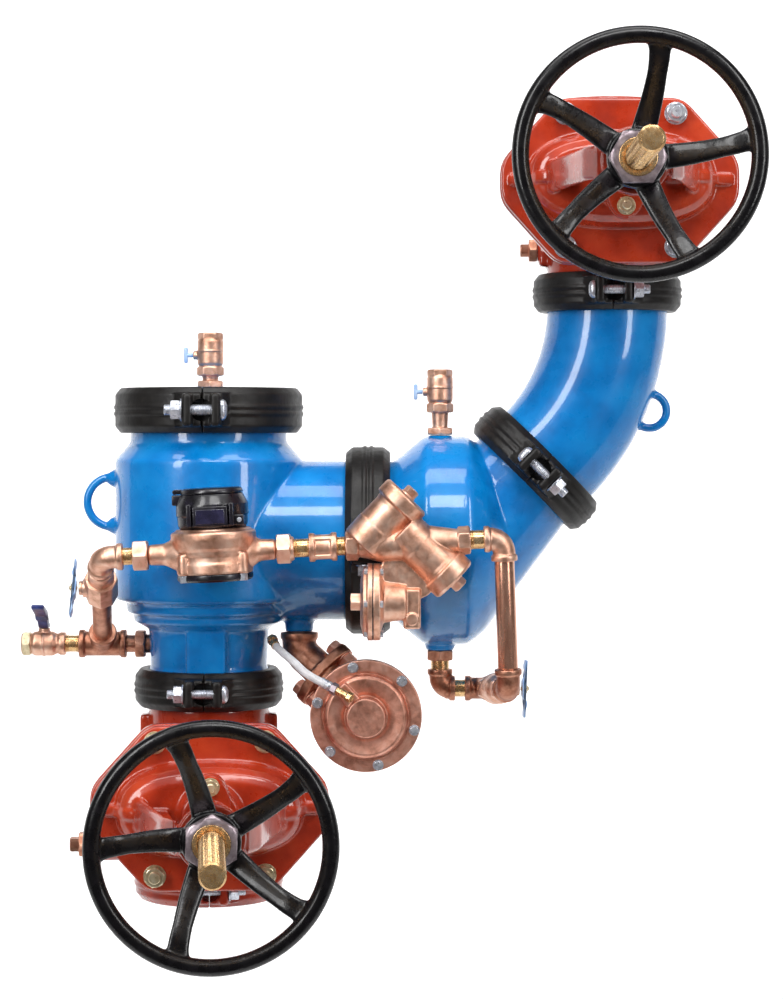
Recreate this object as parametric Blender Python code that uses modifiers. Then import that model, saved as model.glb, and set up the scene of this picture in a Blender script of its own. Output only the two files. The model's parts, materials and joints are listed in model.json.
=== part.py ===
"""Reduced-pressure detector backflow preventer, 6 inch, N layout, with two rising-stem gate valves.

The frame: +Z up, +X from the inlet side to the outlet side, -Y towards the handwheels. The origin is the centre of
the inlet valve's lower end face, on the inlet pipe's axis. Every named size is in millimetres.
"""

import math

import bmesh
import bpy
from mathutils import Matrix, Vector

MM = 0.001
GAP = 0.3
ROUND = 20
MEDIUM = 12
SMALL = 10

# Main line
PIPE_R = 84.15
BORE_R = 76.0
BIG_PIPE_R = 109.55
BIG_BORE_R = 96.5
JOINT_GAP = 2.2
VALVE_LENGTH = 266.7
INLET_X = 0.0
OUTLET_X = 560.0
CHECK_Z = 473.0
COVER_Z = 655.5
CHECK_X = 224.0
ELBOW_CORNER_Z = 676.0
ELBOW_LEG = 143.0
ELBOW_BEND_R = 300.0
BODY_BOTTOM_Z = VALVE_LENGTH + JOINT_GAP + GAP
ELBOW_TOP_Z = ELBOW_CORNER_Z + ELBOW_LEG
OUTLET_CENTRE_Z = ELBOW_TOP_Z + JOINT_GAP + VALVE_LENGTH / 2

# Gate valves: distances "out" run from the waterway's axis towards the handwheel
INLET_YAW = math.radians(4.4)
OUTLET_YAW = math.radians(-0.9)
GATE_R = 80.0
GATE_THICK = 56.0
CAVITY_R = 82.0
CAVITY_HALF = 29.5
CHEST_HALF_X = 98.0
CHEST_HALF_Y = 46.0
FLANGE_OUT = 222.0
FLANGE_THICK = 17.5
BONNET_FLANGE = [(157, -25), (157, 25), (82, 106), (-82, 106), (-157, 25), (-157, -25), (-82, -106), (82, -106)]
DOME_OUT = 304.0
DOME_WALL = 14.0
STUFFING_OUT = 342.0
YOKE_HUB_OUT = (470.0, 505.0)
YOKE_HUB_R = 42.0
STEM_R = 15.9
STEM_LENGTH = 565.0
STEM_POCKET = 40.0
NUT_R = 23.5
WHEEL_HUB_R = 36.0
WHEEL_HUB_OUT = 545.0
RIM_OUT = 570.0
RIM_R = 141.7
RIM_SECTION_R = 10.7
SPOKES = 5
INLET_OPENING = 160.0
OUTLET_OPENING = 130.0
INLET_SPOKE_DEG = 36.5
OUTLET_SPOKE_DEG = 8.0

# Bypass line
BYPASS_Y = -200.0
BYPASS_RISE = 0.0479
BYPASS_LEFT = Vector((-130.0, BYPASS_Y, 458.7))
TEE = Vector((-149.0, 0.0, 327.7))
TUBE_R = 13.35
ELBOW_R = 17.5
METER_X = 21.3
METER_ENDS_X = (-66.0, 104.0)
TAILPIECE_END_X = 195.7
BYPASS_CHECK_END_X = 361.7
BYPASS_RIGHT_X = 405.6
RISER_FOOT = Vector((413.0, -190.0, 283.0))
RETURN_BOSS_X = 325.0

# Relief valve
RELIEF_PORT = Vector((127.0, 0.0, 344.0))
RELIEF_CENTRE = Vector((222.0, 0.0, 238.0))


# ---------------------------------------------------------------- scene helpers


def clear_scene():
    for obj in list(bpy.data.objects):
        bpy.data.objects.remove(obj)


def new_collection(name):
    collection = bpy.data.collections.new(name)
    bpy.context.scene.collection.children.link(collection)
    return collection


def look(name, colour, roughness, metallic=0.0):
    """A Principled material for one kind of surface."""
    material = bpy.data.materials.new(name)
    material.use_nodes = True
    shader = material.node_tree.nodes["Principled BSDF"]
    shader.inputs["Base Color"].default_value = (*colour, 1.0)
    shader.inputs["Roughness"].default_value = roughness
    shader.inputs["Metallic"].default_value = metallic
    return material


clear_scene()
PARTS = new_collection("backflow_preventer")
TOOLS = new_collection("cutters")
ROOT = bpy.data.objects.new("backflow_preventer_frame", None)
PARTS.objects.link(ROOT)

RED = look("red_enamel", (0.55, 0.03, 0.012), 0.25)
BLUE = look("blue_epoxy", (0.01, 0.20, 0.58), 0.2)
BLACK = look("black_enamel", (0.012, 0.011, 0.012), 0.25)
COUPLING_BLACK = look("coupling_black", (0.03, 0.028, 0.026), 0.45)
BRONZE = look("cast_bronze", (0.62, 0.33, 0.22), 0.4, 1.0)
DARK_BRONZE = look("dark_bronze", (0.30, 0.13, 0.08), 0.5, 1.0)
BRASS = look("brass", (0.72, 0.46, 0.16), 0.3, 1.0)
COPPER = look("copper_tube", (0.72, 0.38, 0.25), 0.2, 1.0)
STEEL = look("steel", (0.55, 0.56, 0.58), 0.3, 1.0)
HANDLE_BLUE = look("handle_blue", (0.20, 0.38, 0.62), 0.4)
LEVER_NAVY = look("lever_navy", (0.03, 0.035, 0.13), 0.45)
REGISTER_BLACK = look("register_black", (0.02, 0.018, 0.03), 0.4)


# ---------------------------------------------------------------- shape helpers


def place(origin, axis=(0, 0, 1), side=(1, 0, 0), frame=None):
    """The matrix that puts a shape's own Z along axis and its own X towards side, at origin, inside frame."""
    z = Vector(axis).normalized()
    x = (Vector(side) - z * z.dot(Vector(side))).normalized()
    matrix = Matrix((x, z.cross(x), z)).transposed().to_4x4()
    matrix.translation = Vector(origin) * MM
    return frame @ matrix if frame else matrix


def clear_hole(radius, sides):
    """The corner radius of a faceted hole that clears a round shaft of this radius."""
    return (radius + GAP) / math.cos(math.pi / sides)


def tool(mesh, at):
    """A helper object: hidden in a render, until finish_part makes it a part."""
    obj = bpy.data.objects.new("shape", mesh)
    TOOLS.objects.link(obj)
    obj.matrix_world = at
    obj.hide_render = True
    obj.display_type = "WIRE"
    return obj


def turned(profile, at, sides=ROUND):
    """A turned solid: profile holds (radius, height) down the outer side, and back up the bore if it is hollow."""
    mesh = bpy.data.meshes.new("profile")
    edges = [(i, i + 1) for i in range(len(profile) - 1)]
    if profile[0][0] > 0:
        edges.append((len(profile) - 1, 0))
    mesh.from_pydata([(r * MM, 0, z * MM) for r, z in profile], edges, [])
    obj = tool(mesh, at)
    screw = obj.modifiers.new("Screw", "SCREW")
    screw.steps = sides
    screw.render_steps = sides
    screw.use_merge_vertices = True
    screw.merge_threshold = 0.00001
    return obj


def ring(mean_r, section_r, height, at, sides=ROUND, section_sides=8):
    """A round ring about the shape's own Z."""
    steps = [math.radians(90 - 360 * i / section_sides) for i in range(section_sides)]
    profile = [(mean_r + section_r * math.cos(a), height + section_r * math.sin(a)) for a in steps]
    return turned(profile, at, sides)


def rod(radius, start, end, at, sides=SMALL, end_radius=None):
    """A cylinder or cone along the shape's own Z, from start to end."""
    bm = bmesh.new()
    top = radius if end_radius is None else end_radius
    middle = Matrix.Translation((0, 0, (start + end) / 2 * MM))
    bmesh.ops.create_cone(bm, cap_ends=True, segments=sides, radius1=radius * MM, radius2=top * MM,
                          depth=(end - start) * MM, matrix=middle)
    mesh = bpy.data.meshes.new("rod")
    bm.to_mesh(mesh)
    bm.free()
    return tool(mesh, at)


def block(low, high, at):
    """A box between two corners."""
    low, high = Vector(low) * MM, Vector(high) * MM
    bm = bmesh.new()
    shape = Matrix.Translation((low + high) / 2) @ Matrix.Diagonal((*(high - low), 1))
    bmesh.ops.create_cube(bm, size=1, matrix=shape)
    mesh = bpy.data.meshes.new("block")
    bm.to_mesh(mesh)
    bm.free()
    return tool(mesh, at)


def oval(half_x, half_y, start, end, taper, at, sides=ROUND):
    """A tapered boss with an oval section."""
    bm = bmesh.new()
    shape = Matrix.Translation((0, 0, (start + end) / 2 * MM)) @ Matrix.Diagonal((half_x * MM, half_y * MM, 1, 1))
    bmesh.ops.create_cone(bm, cap_ends=True, segments=sides, radius1=1, radius2=taper,
                          depth=(end - start) * MM, matrix=shape)
    mesh = bpy.data.meshes.new("oval")
    bm.to_mesh(mesh)
    bm.free()
    return tool(mesh, at)


def curve_solid(curve, at):
    """The closed mesh of a curve object."""
    obj = bpy.data.objects.new("curve", curve)
    TOOLS.objects.link(obj)
    obj.matrix_world = at
    graph = bpy.context.evaluated_depsgraph_get()
    mesh = bpy.data.meshes.new_from_object(obj.evaluated_get(graph))
    bm = bmesh.new()
    bm.from_mesh(mesh)
    bmesh.ops.remove_doubles(bm, verts=bm.verts, dist=0.00001)
    bm.to_mesh(mesh)
    bm.free()
    matrix = obj.matrix_world.copy()
    bpy.data.objects.remove(obj)
    return tool(mesh, matrix)


def plate(outline, start, end, at):
    """A flat outline in the shape's own XY plane, extruded along its Z from start to end."""
    curve = bpy.data.curves.new("outline", "CURVE")
    curve.dimensions = "2D"
    curve.fill_mode = "BOTH"
    curve.extrude = (end - start) / 2 * MM
    spline = curve.splines.new("POLY")
    spline.points.add(len(outline) - 1)
    for point, (x, y) in zip(spline.points, outline):
        point.co = (x * MM, y * MM, 0, 1)
    spline.use_cyclic_u = True
    return curve_solid(curve, at @ Matrix.Translation((0, 0, (start + end) / 2 * MM)))


def tube(points, radius, sides=SMALL, at=None):
    """A solid round bar along the points, with square ends."""
    first, second, *_, last_but_one, last = [Vector(p) for p in points]
    points = [first, first.lerp(second, 0.3), *points[1:-1], last.lerp(last_but_one, 0.3), last]
    curve = bpy.data.curves.new("route", "CURVE")
    curve.dimensions = "3D"
    curve.bevel_depth = radius * MM
    curve.bevel_resolution = (sides - 4) // 2
    curve.use_fill_caps = True
    spline = curve.splines.new("POLY")
    spline.points.add(len(points) - 1)
    for point, position in zip(spline.points, points):
        point.co = (*(Vector(position) * MM), 1)
    return curve_solid(curve, at or Matrix())


def boolean(target, other, operation):
    modifier = target.modifiers.new(operation.title(), "BOOLEAN")
    modifier.operation = operation
    modifier.solver = "EXACT"
    modifier.object = other


def combine(base, joined=(), cut=()):
    for other in joined:
        boolean(base, other, "UNION")
    for other in cut:
        boolean(base, other, "DIFFERENCE")
    return base


def finish_part(name, material, base, joined=(), cut=()):
    """Makes base the named part, with shapes joined to it and then shapes cut from it."""
    combine(base, joined, cut)
    TOOLS.objects.unlink(base)
    PARTS.objects.link(base)
    base.name = name
    base.data.name = name
    base.hide_render = False
    base.display_type = "TEXTURED"
    base.parent = ROOT
    base.data.materials.append(material)
    base.data.shade_smooth()
    return base


def arc(centre, radius, start_deg, end_deg, steps):
    """Points along an arc in the XZ plane."""
    angles = [math.radians(start_deg + (end_deg - start_deg) * i / steps) for i in range(steps + 1)]
    return [Vector((centre[0] + radius * math.cos(a), centre[1], centre[2] + radius * math.sin(a))) for a in angles]


def bend(start, corner, end, radius, steps=3):
    """Points from start to end round a corner of this bend radius."""
    start, corner, end = Vector(start), Vector(corner), Vector(end)
    first = (start - corner).normalized()
    last = (end - corner).normalized()
    half = first.angle(last) / 2
    centre = corner + (first + last).normalized() * (radius / math.sin(half))
    tangent = radius / math.tan(half)
    spoke = corner + first * tangent - centre
    far_spoke = corner + last * tangent - centre
    axis, whole = spoke.cross(far_spoke), spoke.angle(far_spoke)
    turns = [Matrix.Rotation(whole * i / steps, 3, axis) for i in range(steps + 1)]
    return [start, *[centre + turn @ spoke for turn in turns], end]


def smooth(points, per_span=4):
    """A Catmull-Rom curve through the points."""
    path = [Vector(p) for p in points]
    path = [path[0] * 2 - path[1], *path, path[-1] * 2 - path[-2]]
    result = []
    for a, b, c, d in zip(path, path[1:], path[2:], path[3:]):
        for i in range(per_span):
            t = i / per_span
            result.append(0.5 * (2 * b + (c - a) * t + (2 * a - 5 * b + 4 * c - d) * t**2
                                 + (3 * b - a - 3 * c + d) * t**3))
    return result + [path[-2]]


# ---------------------------------------------------------------- gate valves


def front_of(frame):
    """X to the right, Y up and Z out towards the handwheel."""
    return place((0, 0, 0), (0, -1, 0), (1, 0, 0), frame)


def valve_body(prefix, frame):
    up = place((0, 0, 0), frame=frame)
    front = front_of(frame)
    half = VALVE_LENGTH / 2
    neck = rod(PIPE_R, -half, half, up, ROUND)
    drum = rod(CHEST_HALF_X, -CHEST_HALF_Y, CHEST_HALF_Y, up, ROUND)
    chest = block((-CHEST_HALF_X, -CHEST_HALF_Y, 0), (CHEST_HALF_X, CHEST_HALF_Y, FLANGE_OUT + 5), front)
    flange = plate(BONNET_FLANGE, FLANGE_OUT, FLANGE_OUT + FLANGE_THICK, front)
    bore = rod(BORE_R, -half - 5, half + 5, up, ROUND)
    seat_room = rod(CAVITY_R, -CAVITY_HALF, CAVITY_HALF, up, ROUND)
    slot = block((-CAVITY_R, -CAVITY_HALF, 0), (CAVITY_R, CAVITY_HALF, FLANGE_OUT + FLANGE_THICK + 5), front)
    finish_part(prefix + "_valve_body", RED, neck, [drum, chest, flange], [bore, seat_room, slot])


def bonnet(prefix, frame):
    front = front_of(frame)
    side_on = place((0, 0, 0), (0, 0, -1), (1, 0, 0), frame)
    start = FLANGE_OUT + FLANGE_THICK + GAP
    flange = plate(BONNET_FLANGE, start, start + FLANGE_THICK, front)
    dome = oval(122, 62, start + 5, DOME_OUT, 0.84, front)
    stuffing_box = rod(40, DOME_OUT - 10, STUFFING_OUT, front, MEDIUM)
    hub = rod(YOKE_HUB_R, *YOKE_HUB_OUT, front, MEDIUM)
    arms = []
    for side in (-1, 1):
        outline = [(58, 288), (98, 288), (60, 462), (38, 505), (30, 505), (37, 471), (39, 455)]
        arms.append(plate([(side * x, y) for x, y in outline], -7, 7, side_on))
    cavity = block((-CAVITY_R, -CAVITY_HALF, start - 5), (CAVITY_R, CAVITY_HALF, DOME_OUT - DOME_WALL), front)
    stem_hole = rod(clear_hole(STEM_R, MEDIUM), start, STUFFING_OUT + 5, front, MEDIUM)
    nut_hole = rod(clear_hole(NUT_R, MEDIUM), YOKE_HUB_OUT[0] - 5, YOKE_HUB_OUT[1] + 5, front, MEDIUM)
    finish_part(prefix + "_bonnet", RED, flange, [dome, stuffing_box, hub, *arms], [cavity, stem_hole, nut_hole])


def gate_and_stem(prefix, frame, opening):
    """The gate and its rising stem, with the gate this far out of the waterway."""
    front = front_of(frame)
    middle = place((0, -opening, 0), frame=frame)
    pocket_floor = opening + STEM_POCKET
    gate = rod(GATE_R, -GATE_THICK / 2, GATE_THICK / 2, middle, ROUND)
    pocket = rod(clear_hole(STEM_R, MEDIUM), pocket_floor, opening + GATE_R + 5, front, MEDIUM)
    finish_part(prefix + "_gate", STEEL, gate, cut=[pocket])
    stem = rod(STEM_R, pocket_floor + GAP, pocket_floor + STEM_LENGTH, front, MEDIUM)
    finish_part(prefix + "_stem", BRASS, stem)


def yoke_nut(prefix, frame):
    low = YOKE_HUB_OUT[0] - 12
    hole = clear_hole(STEM_R, MEDIUM)
    collar = YOKE_HUB_OUT[0] - GAP
    profile = [(NUT_R, WHEEL_HUB_OUT), (NUT_R, collar), (34, collar), (34, low), (hole, low), (hole, WHEEL_HUB_OUT)]
    finish_part(prefix + "_yoke_nut", BRASS, turned(profile, front_of(frame), MEDIUM))


def handwheel(prefix, frame, first_spoke_deg):
    front = front_of(frame)
    hole = clear_hole(NUT_R, MEDIUM)
    low = YOKE_HUB_OUT[1] + GAP
    hub = turned([(WHEEL_HUB_R, WHEEL_HUB_OUT), (WHEEL_HUB_R, low), (hole, low), (hole, WHEEL_HUB_OUT)], front, MEDIUM)
    rim = ring(RIM_R, RIM_SECTION_R, RIM_OUT, front, 32, 8)
    spokes = []
    for i in range(SPOKES):
        turn = Matrix.Rotation(math.radians(first_spoke_deg + 360 * i / SPOKES), 4, "Z")
        route = [(30, 0, 526), (62, 4, 532), (104, 4, 552), (RIM_R, 0, RIM_OUT)]
        spokes.append(tube(route, 9, 6, front @ turn))
    finish_part(prefix + "_handwheel", BLACK, rim, [*spokes, hub])


def gate_valve(prefix, x, z, yaw, opening, first_spoke_deg):
    frame = Matrix.Translation(Vector((x, 0, z)) * MM) @ Matrix.Rotation(yaw, 4, "Z")
    valve_body(prefix, frame)
    bonnet(prefix, frame)
    gate_and_stem(prefix, frame, opening)
    yoke_nut(prefix, frame)
    handwheel(prefix, frame, first_spoke_deg)


# ---------------------------------------------------------------- couplings


def coupling(name, halves, pipe_r, outer_r, width, at, material=COUPLING_BLACK):
    """Two housing halves around the shape's own Z, parted at its X = 0, with bolt ears at its -Y and +Y."""
    w = width / 2
    inner_r = (pipe_r + GAP) / math.cos(math.pi / ROUND)
    profile = [(outer_r - 7, w), (outer_r, w - 9), (outer_r, 9 - w), (outer_r - 7, -w), (inner_r, -w), (inner_r, w)]
    for side, half_name in zip((-1, 1), halves):
        body = turned(profile, at)
        ears = []
        for way in (-1, 1):
            near, far = sorted((way * (inner_r + 4), way * (outer_r + 21)))
            xs = sorted((side * 12, side * 26))
            ears.append(block((xs[0], near, -0.36 * width), (xs[1], far, 0.36 * width), at))
        reach = outer_r + 40
        away = sorted((-side * reach, side * GAP / 2))
        other_half = block((away[0], -reach, -width), (away[1], reach, width), at)
        finish_part(f"{name}_coupling_{half_name}", material, body, ears, [other_half])


def small_coupling(name, at, material=COUPLING_BLACK, halves=("left", "right")):
    coupling(name, halves, PIPE_R, 105, 53, at, material)


def couplings():
    diagonal = place((OUTLET_X - ELBOW_LEG * math.sqrt(0.5), 0, ELBOW_CORNER_Z - ELBOW_LEG * math.sqrt(0.5)),
                     (1, 0, 1), (1, 0, -1))
    small_coupling("supply", place((0, 0, 0), frame=Matrix.Rotation(INLET_YAW, 4, "Z")), RED)
    small_coupling("inlet", place((0, 0, VALVE_LENGTH + JOINT_GAP / 2)))
    small_coupling("elbow", diagonal, halves=("upper", "lower"))
    small_coupling("outlet", place((OUTLET_X, 0, ELBOW_TOP_Z + JOINT_GAP / 2)))
    coupling("cover", ("left", "right"), BIG_PIPE_R, 133, 63, place((0, 0, COVER_Z)))
    coupling("check", ("upper", "lower"), BIG_PIPE_R, 133, 62, place((CHECK_X, 0, CHECK_Z), (1, 0, 0), (0, 0, -1)))


# ---------------------------------------------------------------- main check line


def check_body():
    top = COVER_Z - JOINT_GAP / 2
    end = CHECK_X - JOINT_GAP / 2
    up = place((0, 0, 0))
    along = place((0, 0, CHECK_Z), (1, 0, 0), (0, 0, 1))
    outer = [(0, top), (BIG_PIPE_R, top), (BIG_PIPE_R, 612), (131, 587), (131, 391), (115, 388), (115, 374),
             (112, 370), (105, 361), (PIPE_R, 350), (81, 298), (PIPE_R, 294), (PIPE_R, BODY_BOTTOM_Z),
             (0, BODY_BOTTOM_Z)]
    inner = [(0, top + 5), (BIG_BORE_R, top + 5), (BIG_BORE_R, 610), (118, 590), (118, 408), (98, 393), (98, 372),
             (0, 372)]
    branch = turned([(0, end), (BIG_PIPE_R, end), (BIG_PIPE_R, 196), (112, 190), (112, 0), (0, 0)], along)
    eye = ring(35, 6, 0, place((-136, 0, 527), (0, 1, 0)), MEDIUM, 6)
    boss = rod(20, RELIEF_PORT.z, 400, place((RELIEF_PORT.x, 0, 0)), MEDIUM)
    branch_bore = rod(BIG_BORE_R - 0.7, 20, end + 5, along, ROUND)
    port = rod(13, RELIEF_PORT.z - 5, 385, place((RELIEF_PORT.x, 0, 0)))
    neck_bore = rod(BORE_R, BODY_BOTTOM_Z - 5, 378, up, ROUND)
    room = turned(inner, up)
    finish_part("check_body", BLUE, turned(outer, up), [branch, eye, boss], [room, neck_bore, branch_bore, port])


def access_cover():
    low = COVER_Z + JOINT_GAP / 2
    profile = [(0, 687), (16, 687), (16, 680), (104, 680), (BIG_PIPE_R, 675), (BIG_PIPE_R, low), (94, low),
               (88, 668), (0, 668)]
    finish_part("access_cover", BLUE, turned(profile, place((0, 0, 0))))


def second_check_body():
    start = CHECK_X + JOINT_GAP / 2
    corner = OUTLET_X - (ELBOW_CORNER_Z - CHECK_Z)
    diagonal_end = (OUTLET_X - corner) * math.sqrt(2) - ELBOW_LEG - JOINT_GAP / 2
    along = place((0, 0, CHECK_Z), (1, 0, 0), (0, 0, 1))
    diagonal = place((corner, 0, CHECK_Z), (1, 0, 1), (1, 0, -1))
    outer = [(0, 430), (88, 417), (126, 388), (146, 365), (146, 303), (BIG_PIPE_R, 258), (BIG_PIPE_R, start), (0, start)]
    inner = [(0, 408), (84, 400), (116, 378), (133, 360), (133, 308), (88, 262), (88, 250), (BIG_BORE_R, 250),
             (BIG_BORE_R, start - 5), (0, start - 5)]
    outlet = turned([(0, diagonal_end), (PIPE_R, diagonal_end), (PIPE_R, diagonal_end - 27), (105, -20), (0, -20)],
                    diagonal)
    outlet_bore = turned([(0, diagonal_end + 5), (BORE_R, diagonal_end + 5), (BORE_R, diagonal_end - 27), (94, -10),
                          (0, -10)], diagonal)
    top_boss = rod(16, CHECK_Z + 125, CHECK_Z + 148, place((RETURN_BOSS_X, 0, 0)))
    low_boss = rod(20, CHECK_Z - 154, CHECK_Z - 125, place((RETURN_BOSS_X, 0, 0)))
    low_port = rod(12, CHECK_Z - 160, CHECK_Z - 120, place((RETURN_BOSS_X, 0, 0)))
    room = turned(inner, along)
    finish_part("second_check_body", BLUE, turned(outer, along), [outlet, top_boss, low_boss],
                [room, outlet_bore, low_port])


def outlet_elbow():
    centre = (OUTLET_X - ELBOW_BEND_R, 0, ELBOW_CORNER_Z + ELBOW_BEND_R * math.tan(math.pi / 8))
    curve = arc(centre, ELBOW_BEND_R, -45, 0, 5)
    low = Vector((OUTLET_X, 0, ELBOW_CORNER_Z)) - Vector((1, 0, 1)).normalized() * (ELBOW_LEG - JOINT_GAP / 2)
    high = Vector((OUTLET_X, 0, ELBOW_TOP_Z))
    outer = tube([low, *curve, high], PIPE_R, ROUND)
    bore = tube([low - Vector((5, 0, 5)), *curve, high + Vector((0, 0, 5))], BORE_R, ROUND)
    eye_at = arc(centre, ELBOW_BEND_R + 88, -22, 0, 1)[0]
    eye = ring(24, 6, 0, place(eye_at, (0, 1, 0)), MEDIUM, 6)
    finish_part("outlet_elbow", BLUE, outer, [eye], [bore])


def check_module(prefix, at):
    """A seat ring with a three-legged cage, its poppet and its spring, with the flow along the shape's own Z."""
    seat = turned([(96, 16), (96, 0), (66, 0), (66, 16)], at)
    legs = []
    for i in range(3):
        leg_plane = at @ Matrix.Rotation(math.radians(60 + 120 * i), 4, "Z") @ Matrix.Rotation(math.pi / 2, 4, "X")
        legs.append(plate([(76, 10), (84, 10), (84, 130), (0, 130), (0, 122), (76, 122)], -4, 4, leg_plane))
    hub = rod(14, 116, 134, at)
    guide = rod(clear_hole(8, SMALL), 110, 140, at)
    finish_part(prefix + "_check_seat", BRONZE, seat, [*legs, hub], [guide])
    poppet = turned([(0, 150), (8, 150), (8, 28), (72, 28), (72, 16 + GAP), (0, 16 + GAP)], at, MEDIUM)
    finish_part(prefix + "_check_poppet", BRONZE, poppet)
    turns, steps, wire, low, high = 4, 8, 2.5, 31, 119
    count = int(turns * steps)
    coil = []
    for i in range(count + 1):
        angle = 2 * math.pi * i / steps
        coil.append((24 * math.cos(angle), 24 * math.sin(angle), low + (high - low) * i / count))
    finish_part(prefix + "_check_spring", STEEL, tube(coil, wire, 4, at))


# ---------------------------------------------------------------- relief valve


def relief_valve():
    out = place(RELIEF_CENTRE, (0, -1, 0), (1, 0, 0))
    route = [RELIEF_PORT - Vector((0, 0, GAP)), (127, 0, 330), (150, -8, 303), (190, -38, 265)]
    bore_route = [RELIEF_PORT + Vector((0, 0, 5)), *route[1:3], (206, -50, 250)]
    body = turned([(0, 99.7), (76.5, 99.7), (76.5, 90), (60, 88), (60, 22), (45, 0), (40, -30), (0, -30)], out)
    neck = tube(route, 24, SMALL)
    bore = tube(bore_route, 14, SMALL)
    diaphragm_room = rod(55, 86, 105, out, ROUND)
    valve_room = turned([(0, 80), (50, 80), (50, 20), (30, 20), (30, 8), (34, 4), (34, -35), (0, -35)], out)
    stem_hole = rod(clear_hole(8, SMALL), 75, 90, out)
    finish_part("relief_valve_body", BRONZE, body, [neck], [diaphragm_room, valve_room, stem_hole, bore])

    cover = turned([(0, 139), (27, 139), (27, 125), (56, 122), (58, 114), (76.5, 113), (76.5, 100), (50, 100),
                    (50, 113), (0, 113)], out)
    fitting = rod(8, 118, 148, place((199, 0, 266), (0, -1, 0)))
    finish_part("relief_valve_cover", BRONZE, cover, [fitting])

    piston = turned([(0, 98), (44, 98), (44, 91), (8, 90), (8, 28), (38, 28), (38, 20 + GAP), (0, 20 + GAP)], out,
                    MEDIUM)
    finish_part("relief_valve_piston", BRONZE, piston)


def sensing_hose():
    route = [(189, -144, 273), (180, -150, 279), (144, -137, 297), (125, -115, 311), (100, -75, 328), (90, -50, 340)]
    finish_part("sensing_hose", STEEL, tube(smooth(route, 4), 5, 6))


# ---------------------------------------------------------------- bypass line


def bypass_point(x):
    """The point of the bypass line's axis at this X."""
    return Vector((x, BYPASS_Y, BYPASS_LEFT.z + (x - BYPASS_LEFT.x) * BYPASS_RISE))


LINE = Vector((1, 0, BYPASS_RISE)).normalized()
CLIMB = (BYPASS_LEFT - TEE).normalized()
CLIMB_LENGTH = (BYPASS_LEFT - TEE).length


def hollow(path_outer, path_inner, outer_r, inner_r, name, material, joined=()):
    finish_part(name, material, tube(path_outer, outer_r), joined, [tube(path_inner, inner_r)])


def bypass_inlet():
    along = place(TEE, (1, 0, 0), (0, 0, 1))
    climb = place(TEE, CLIMB)
    tee = turned([(0, 64), (13, 64), (13, 52), (19, 50), (19, 36), (ELBOW_R, 33), (ELBOW_R, -33), (12, -35),
                  (12, -52), (0, -52)], along, SMALL)
    branch = turned([(0, 96), (TUBE_R, 96), (TUBE_R, 34), (ELBOW_R, 32), (ELBOW_R, 0), (0, 0)], climb, SMALL)
    run_bore = rod(9, -60, 70, along, 8)
    branch_bore = rod(9, 0, 110, climb, 8)
    finish_part("bypass_tee", DARK_BRONZE, tee, [branch], [run_bore, branch_bore])

    drain = turned([(14, -52.3), (17, -54), (17, -114), (10, -114), (10, -52.3)], along, SMALL)
    stem = rod(8, 10, 22, place(TEE + Vector((-82.5, 0, 0))))
    bore = rod(10, -120, -50, along, 8)
    finish_part("drain_valve_body", BRONZE, drain, [stem], [bore])
    lever_plane = place(TEE + Vector((-82.5, 0, 0)), (-1, 0, 0), (0, -1, 0))
    lever = plate([(-9, 22.3), (12, 22.3), (34, 42), (72, 54), (72, 60), (32, 49), (9, 28), (-9, 28)], -9, 9,
                  lever_plane)
    finish_part("drain_valve_lever", LEVER_NAVY, lever)


def t_handle(name, at, reach, half_length):
    """A wing handle on a stem along the shape's own Z, with its wings along its own X."""
    wings = [(-half_length, -2), (-10, -1), (-5, -7), (5, -7), (10, -1), (half_length, 2), (half_length, 5),
             (10, 4), (5, 9), (-5, 9), (-10, 4), (-half_length, 1)]
    edge_on = at @ Matrix.Rotation(math.pi / 2, 4, "X") @ Matrix.Translation((0, reach * MM, 0))
    finish_part(name, HANDLE_BLUE, plate(wings, -6, 6, edge_on))


def inlet_shutoff():
    climb = place(TEE, CLIMB)
    middle = TEE + CLIMB * 158
    body = turned([(15, 206), (21, 203), (21, 190), (20, 186), (20, 132), (15, 118), (15, 96.3), (10, 96.3),
                   (10, 206)], climb, SMALL)
    stem = rod(9, 15, 30, place(middle, (-1, 0, 0), (0, 0, 1)))
    bore = rod(10, 90, 210, climb)
    finish_part("inlet_shutoff_body", BRONZE, body, [stem], [bore])
    across = CLIMB.cross(Vector((-1, 0, 0)))
    t_handle("inlet_shutoff_handle", place(middle, (-1, 0, 0), across), 37.5, 42)

    start = TEE + CLIMB * (206 + GAP)
    end = bypass_point(METER_ENDS_X[0] - GAP)
    outer = bend(start, BYPASS_LEFT, end, 18)
    inner = bend(start - CLIMB * 5, BYPASS_LEFT, end + LINE * 5, 18)
    hollow(outer, inner, 15.5, 10, "bypass_inlet_elbow", BRONZE)


def meter():
    centre = bypass_point(METER_X)
    upright = place(centre, (-BYPASS_RISE, 0, 1))
    flow = place(centre, LINE, (0, 0, 1))
    left, right = METER_ENDS_X[0] - METER_X, METER_ENDS_X[1] - METER_X
    case = turned([(0, 32), (49, 32), (57, 24), (57, 8), (50, 4), (50, -26), (44, -28), (44, -38), (0, -38)], upright)
    spuds = turned([(0, right), (14, right), (24, 44), (24, -44), (14, left), (0, left)], flow, MEDIUM)
    bore = rod(9, left - 5, right + 5, flow, 8)
    finish_part("meter_body", BRONZE, case, [spuds], [bore])
    register = turned([(0, 78), (42, 78), (48.5, 64), (48.5, 34), (44, 32 + GAP), (0, 32 + GAP)], upright)
    finish_part("meter_register", REGISTER_BLACK, register)
    lid = turned([(0, 86), (38, 86), (42, 83), (42, 78 + GAP), (0, 78 + GAP)], upright)
    tab = block((-50, -8, 78 + GAP), (-36, 8, 85), upright)
    finish_part("meter_lid", REGISTER_BLACK, lid, [tab])


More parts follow.
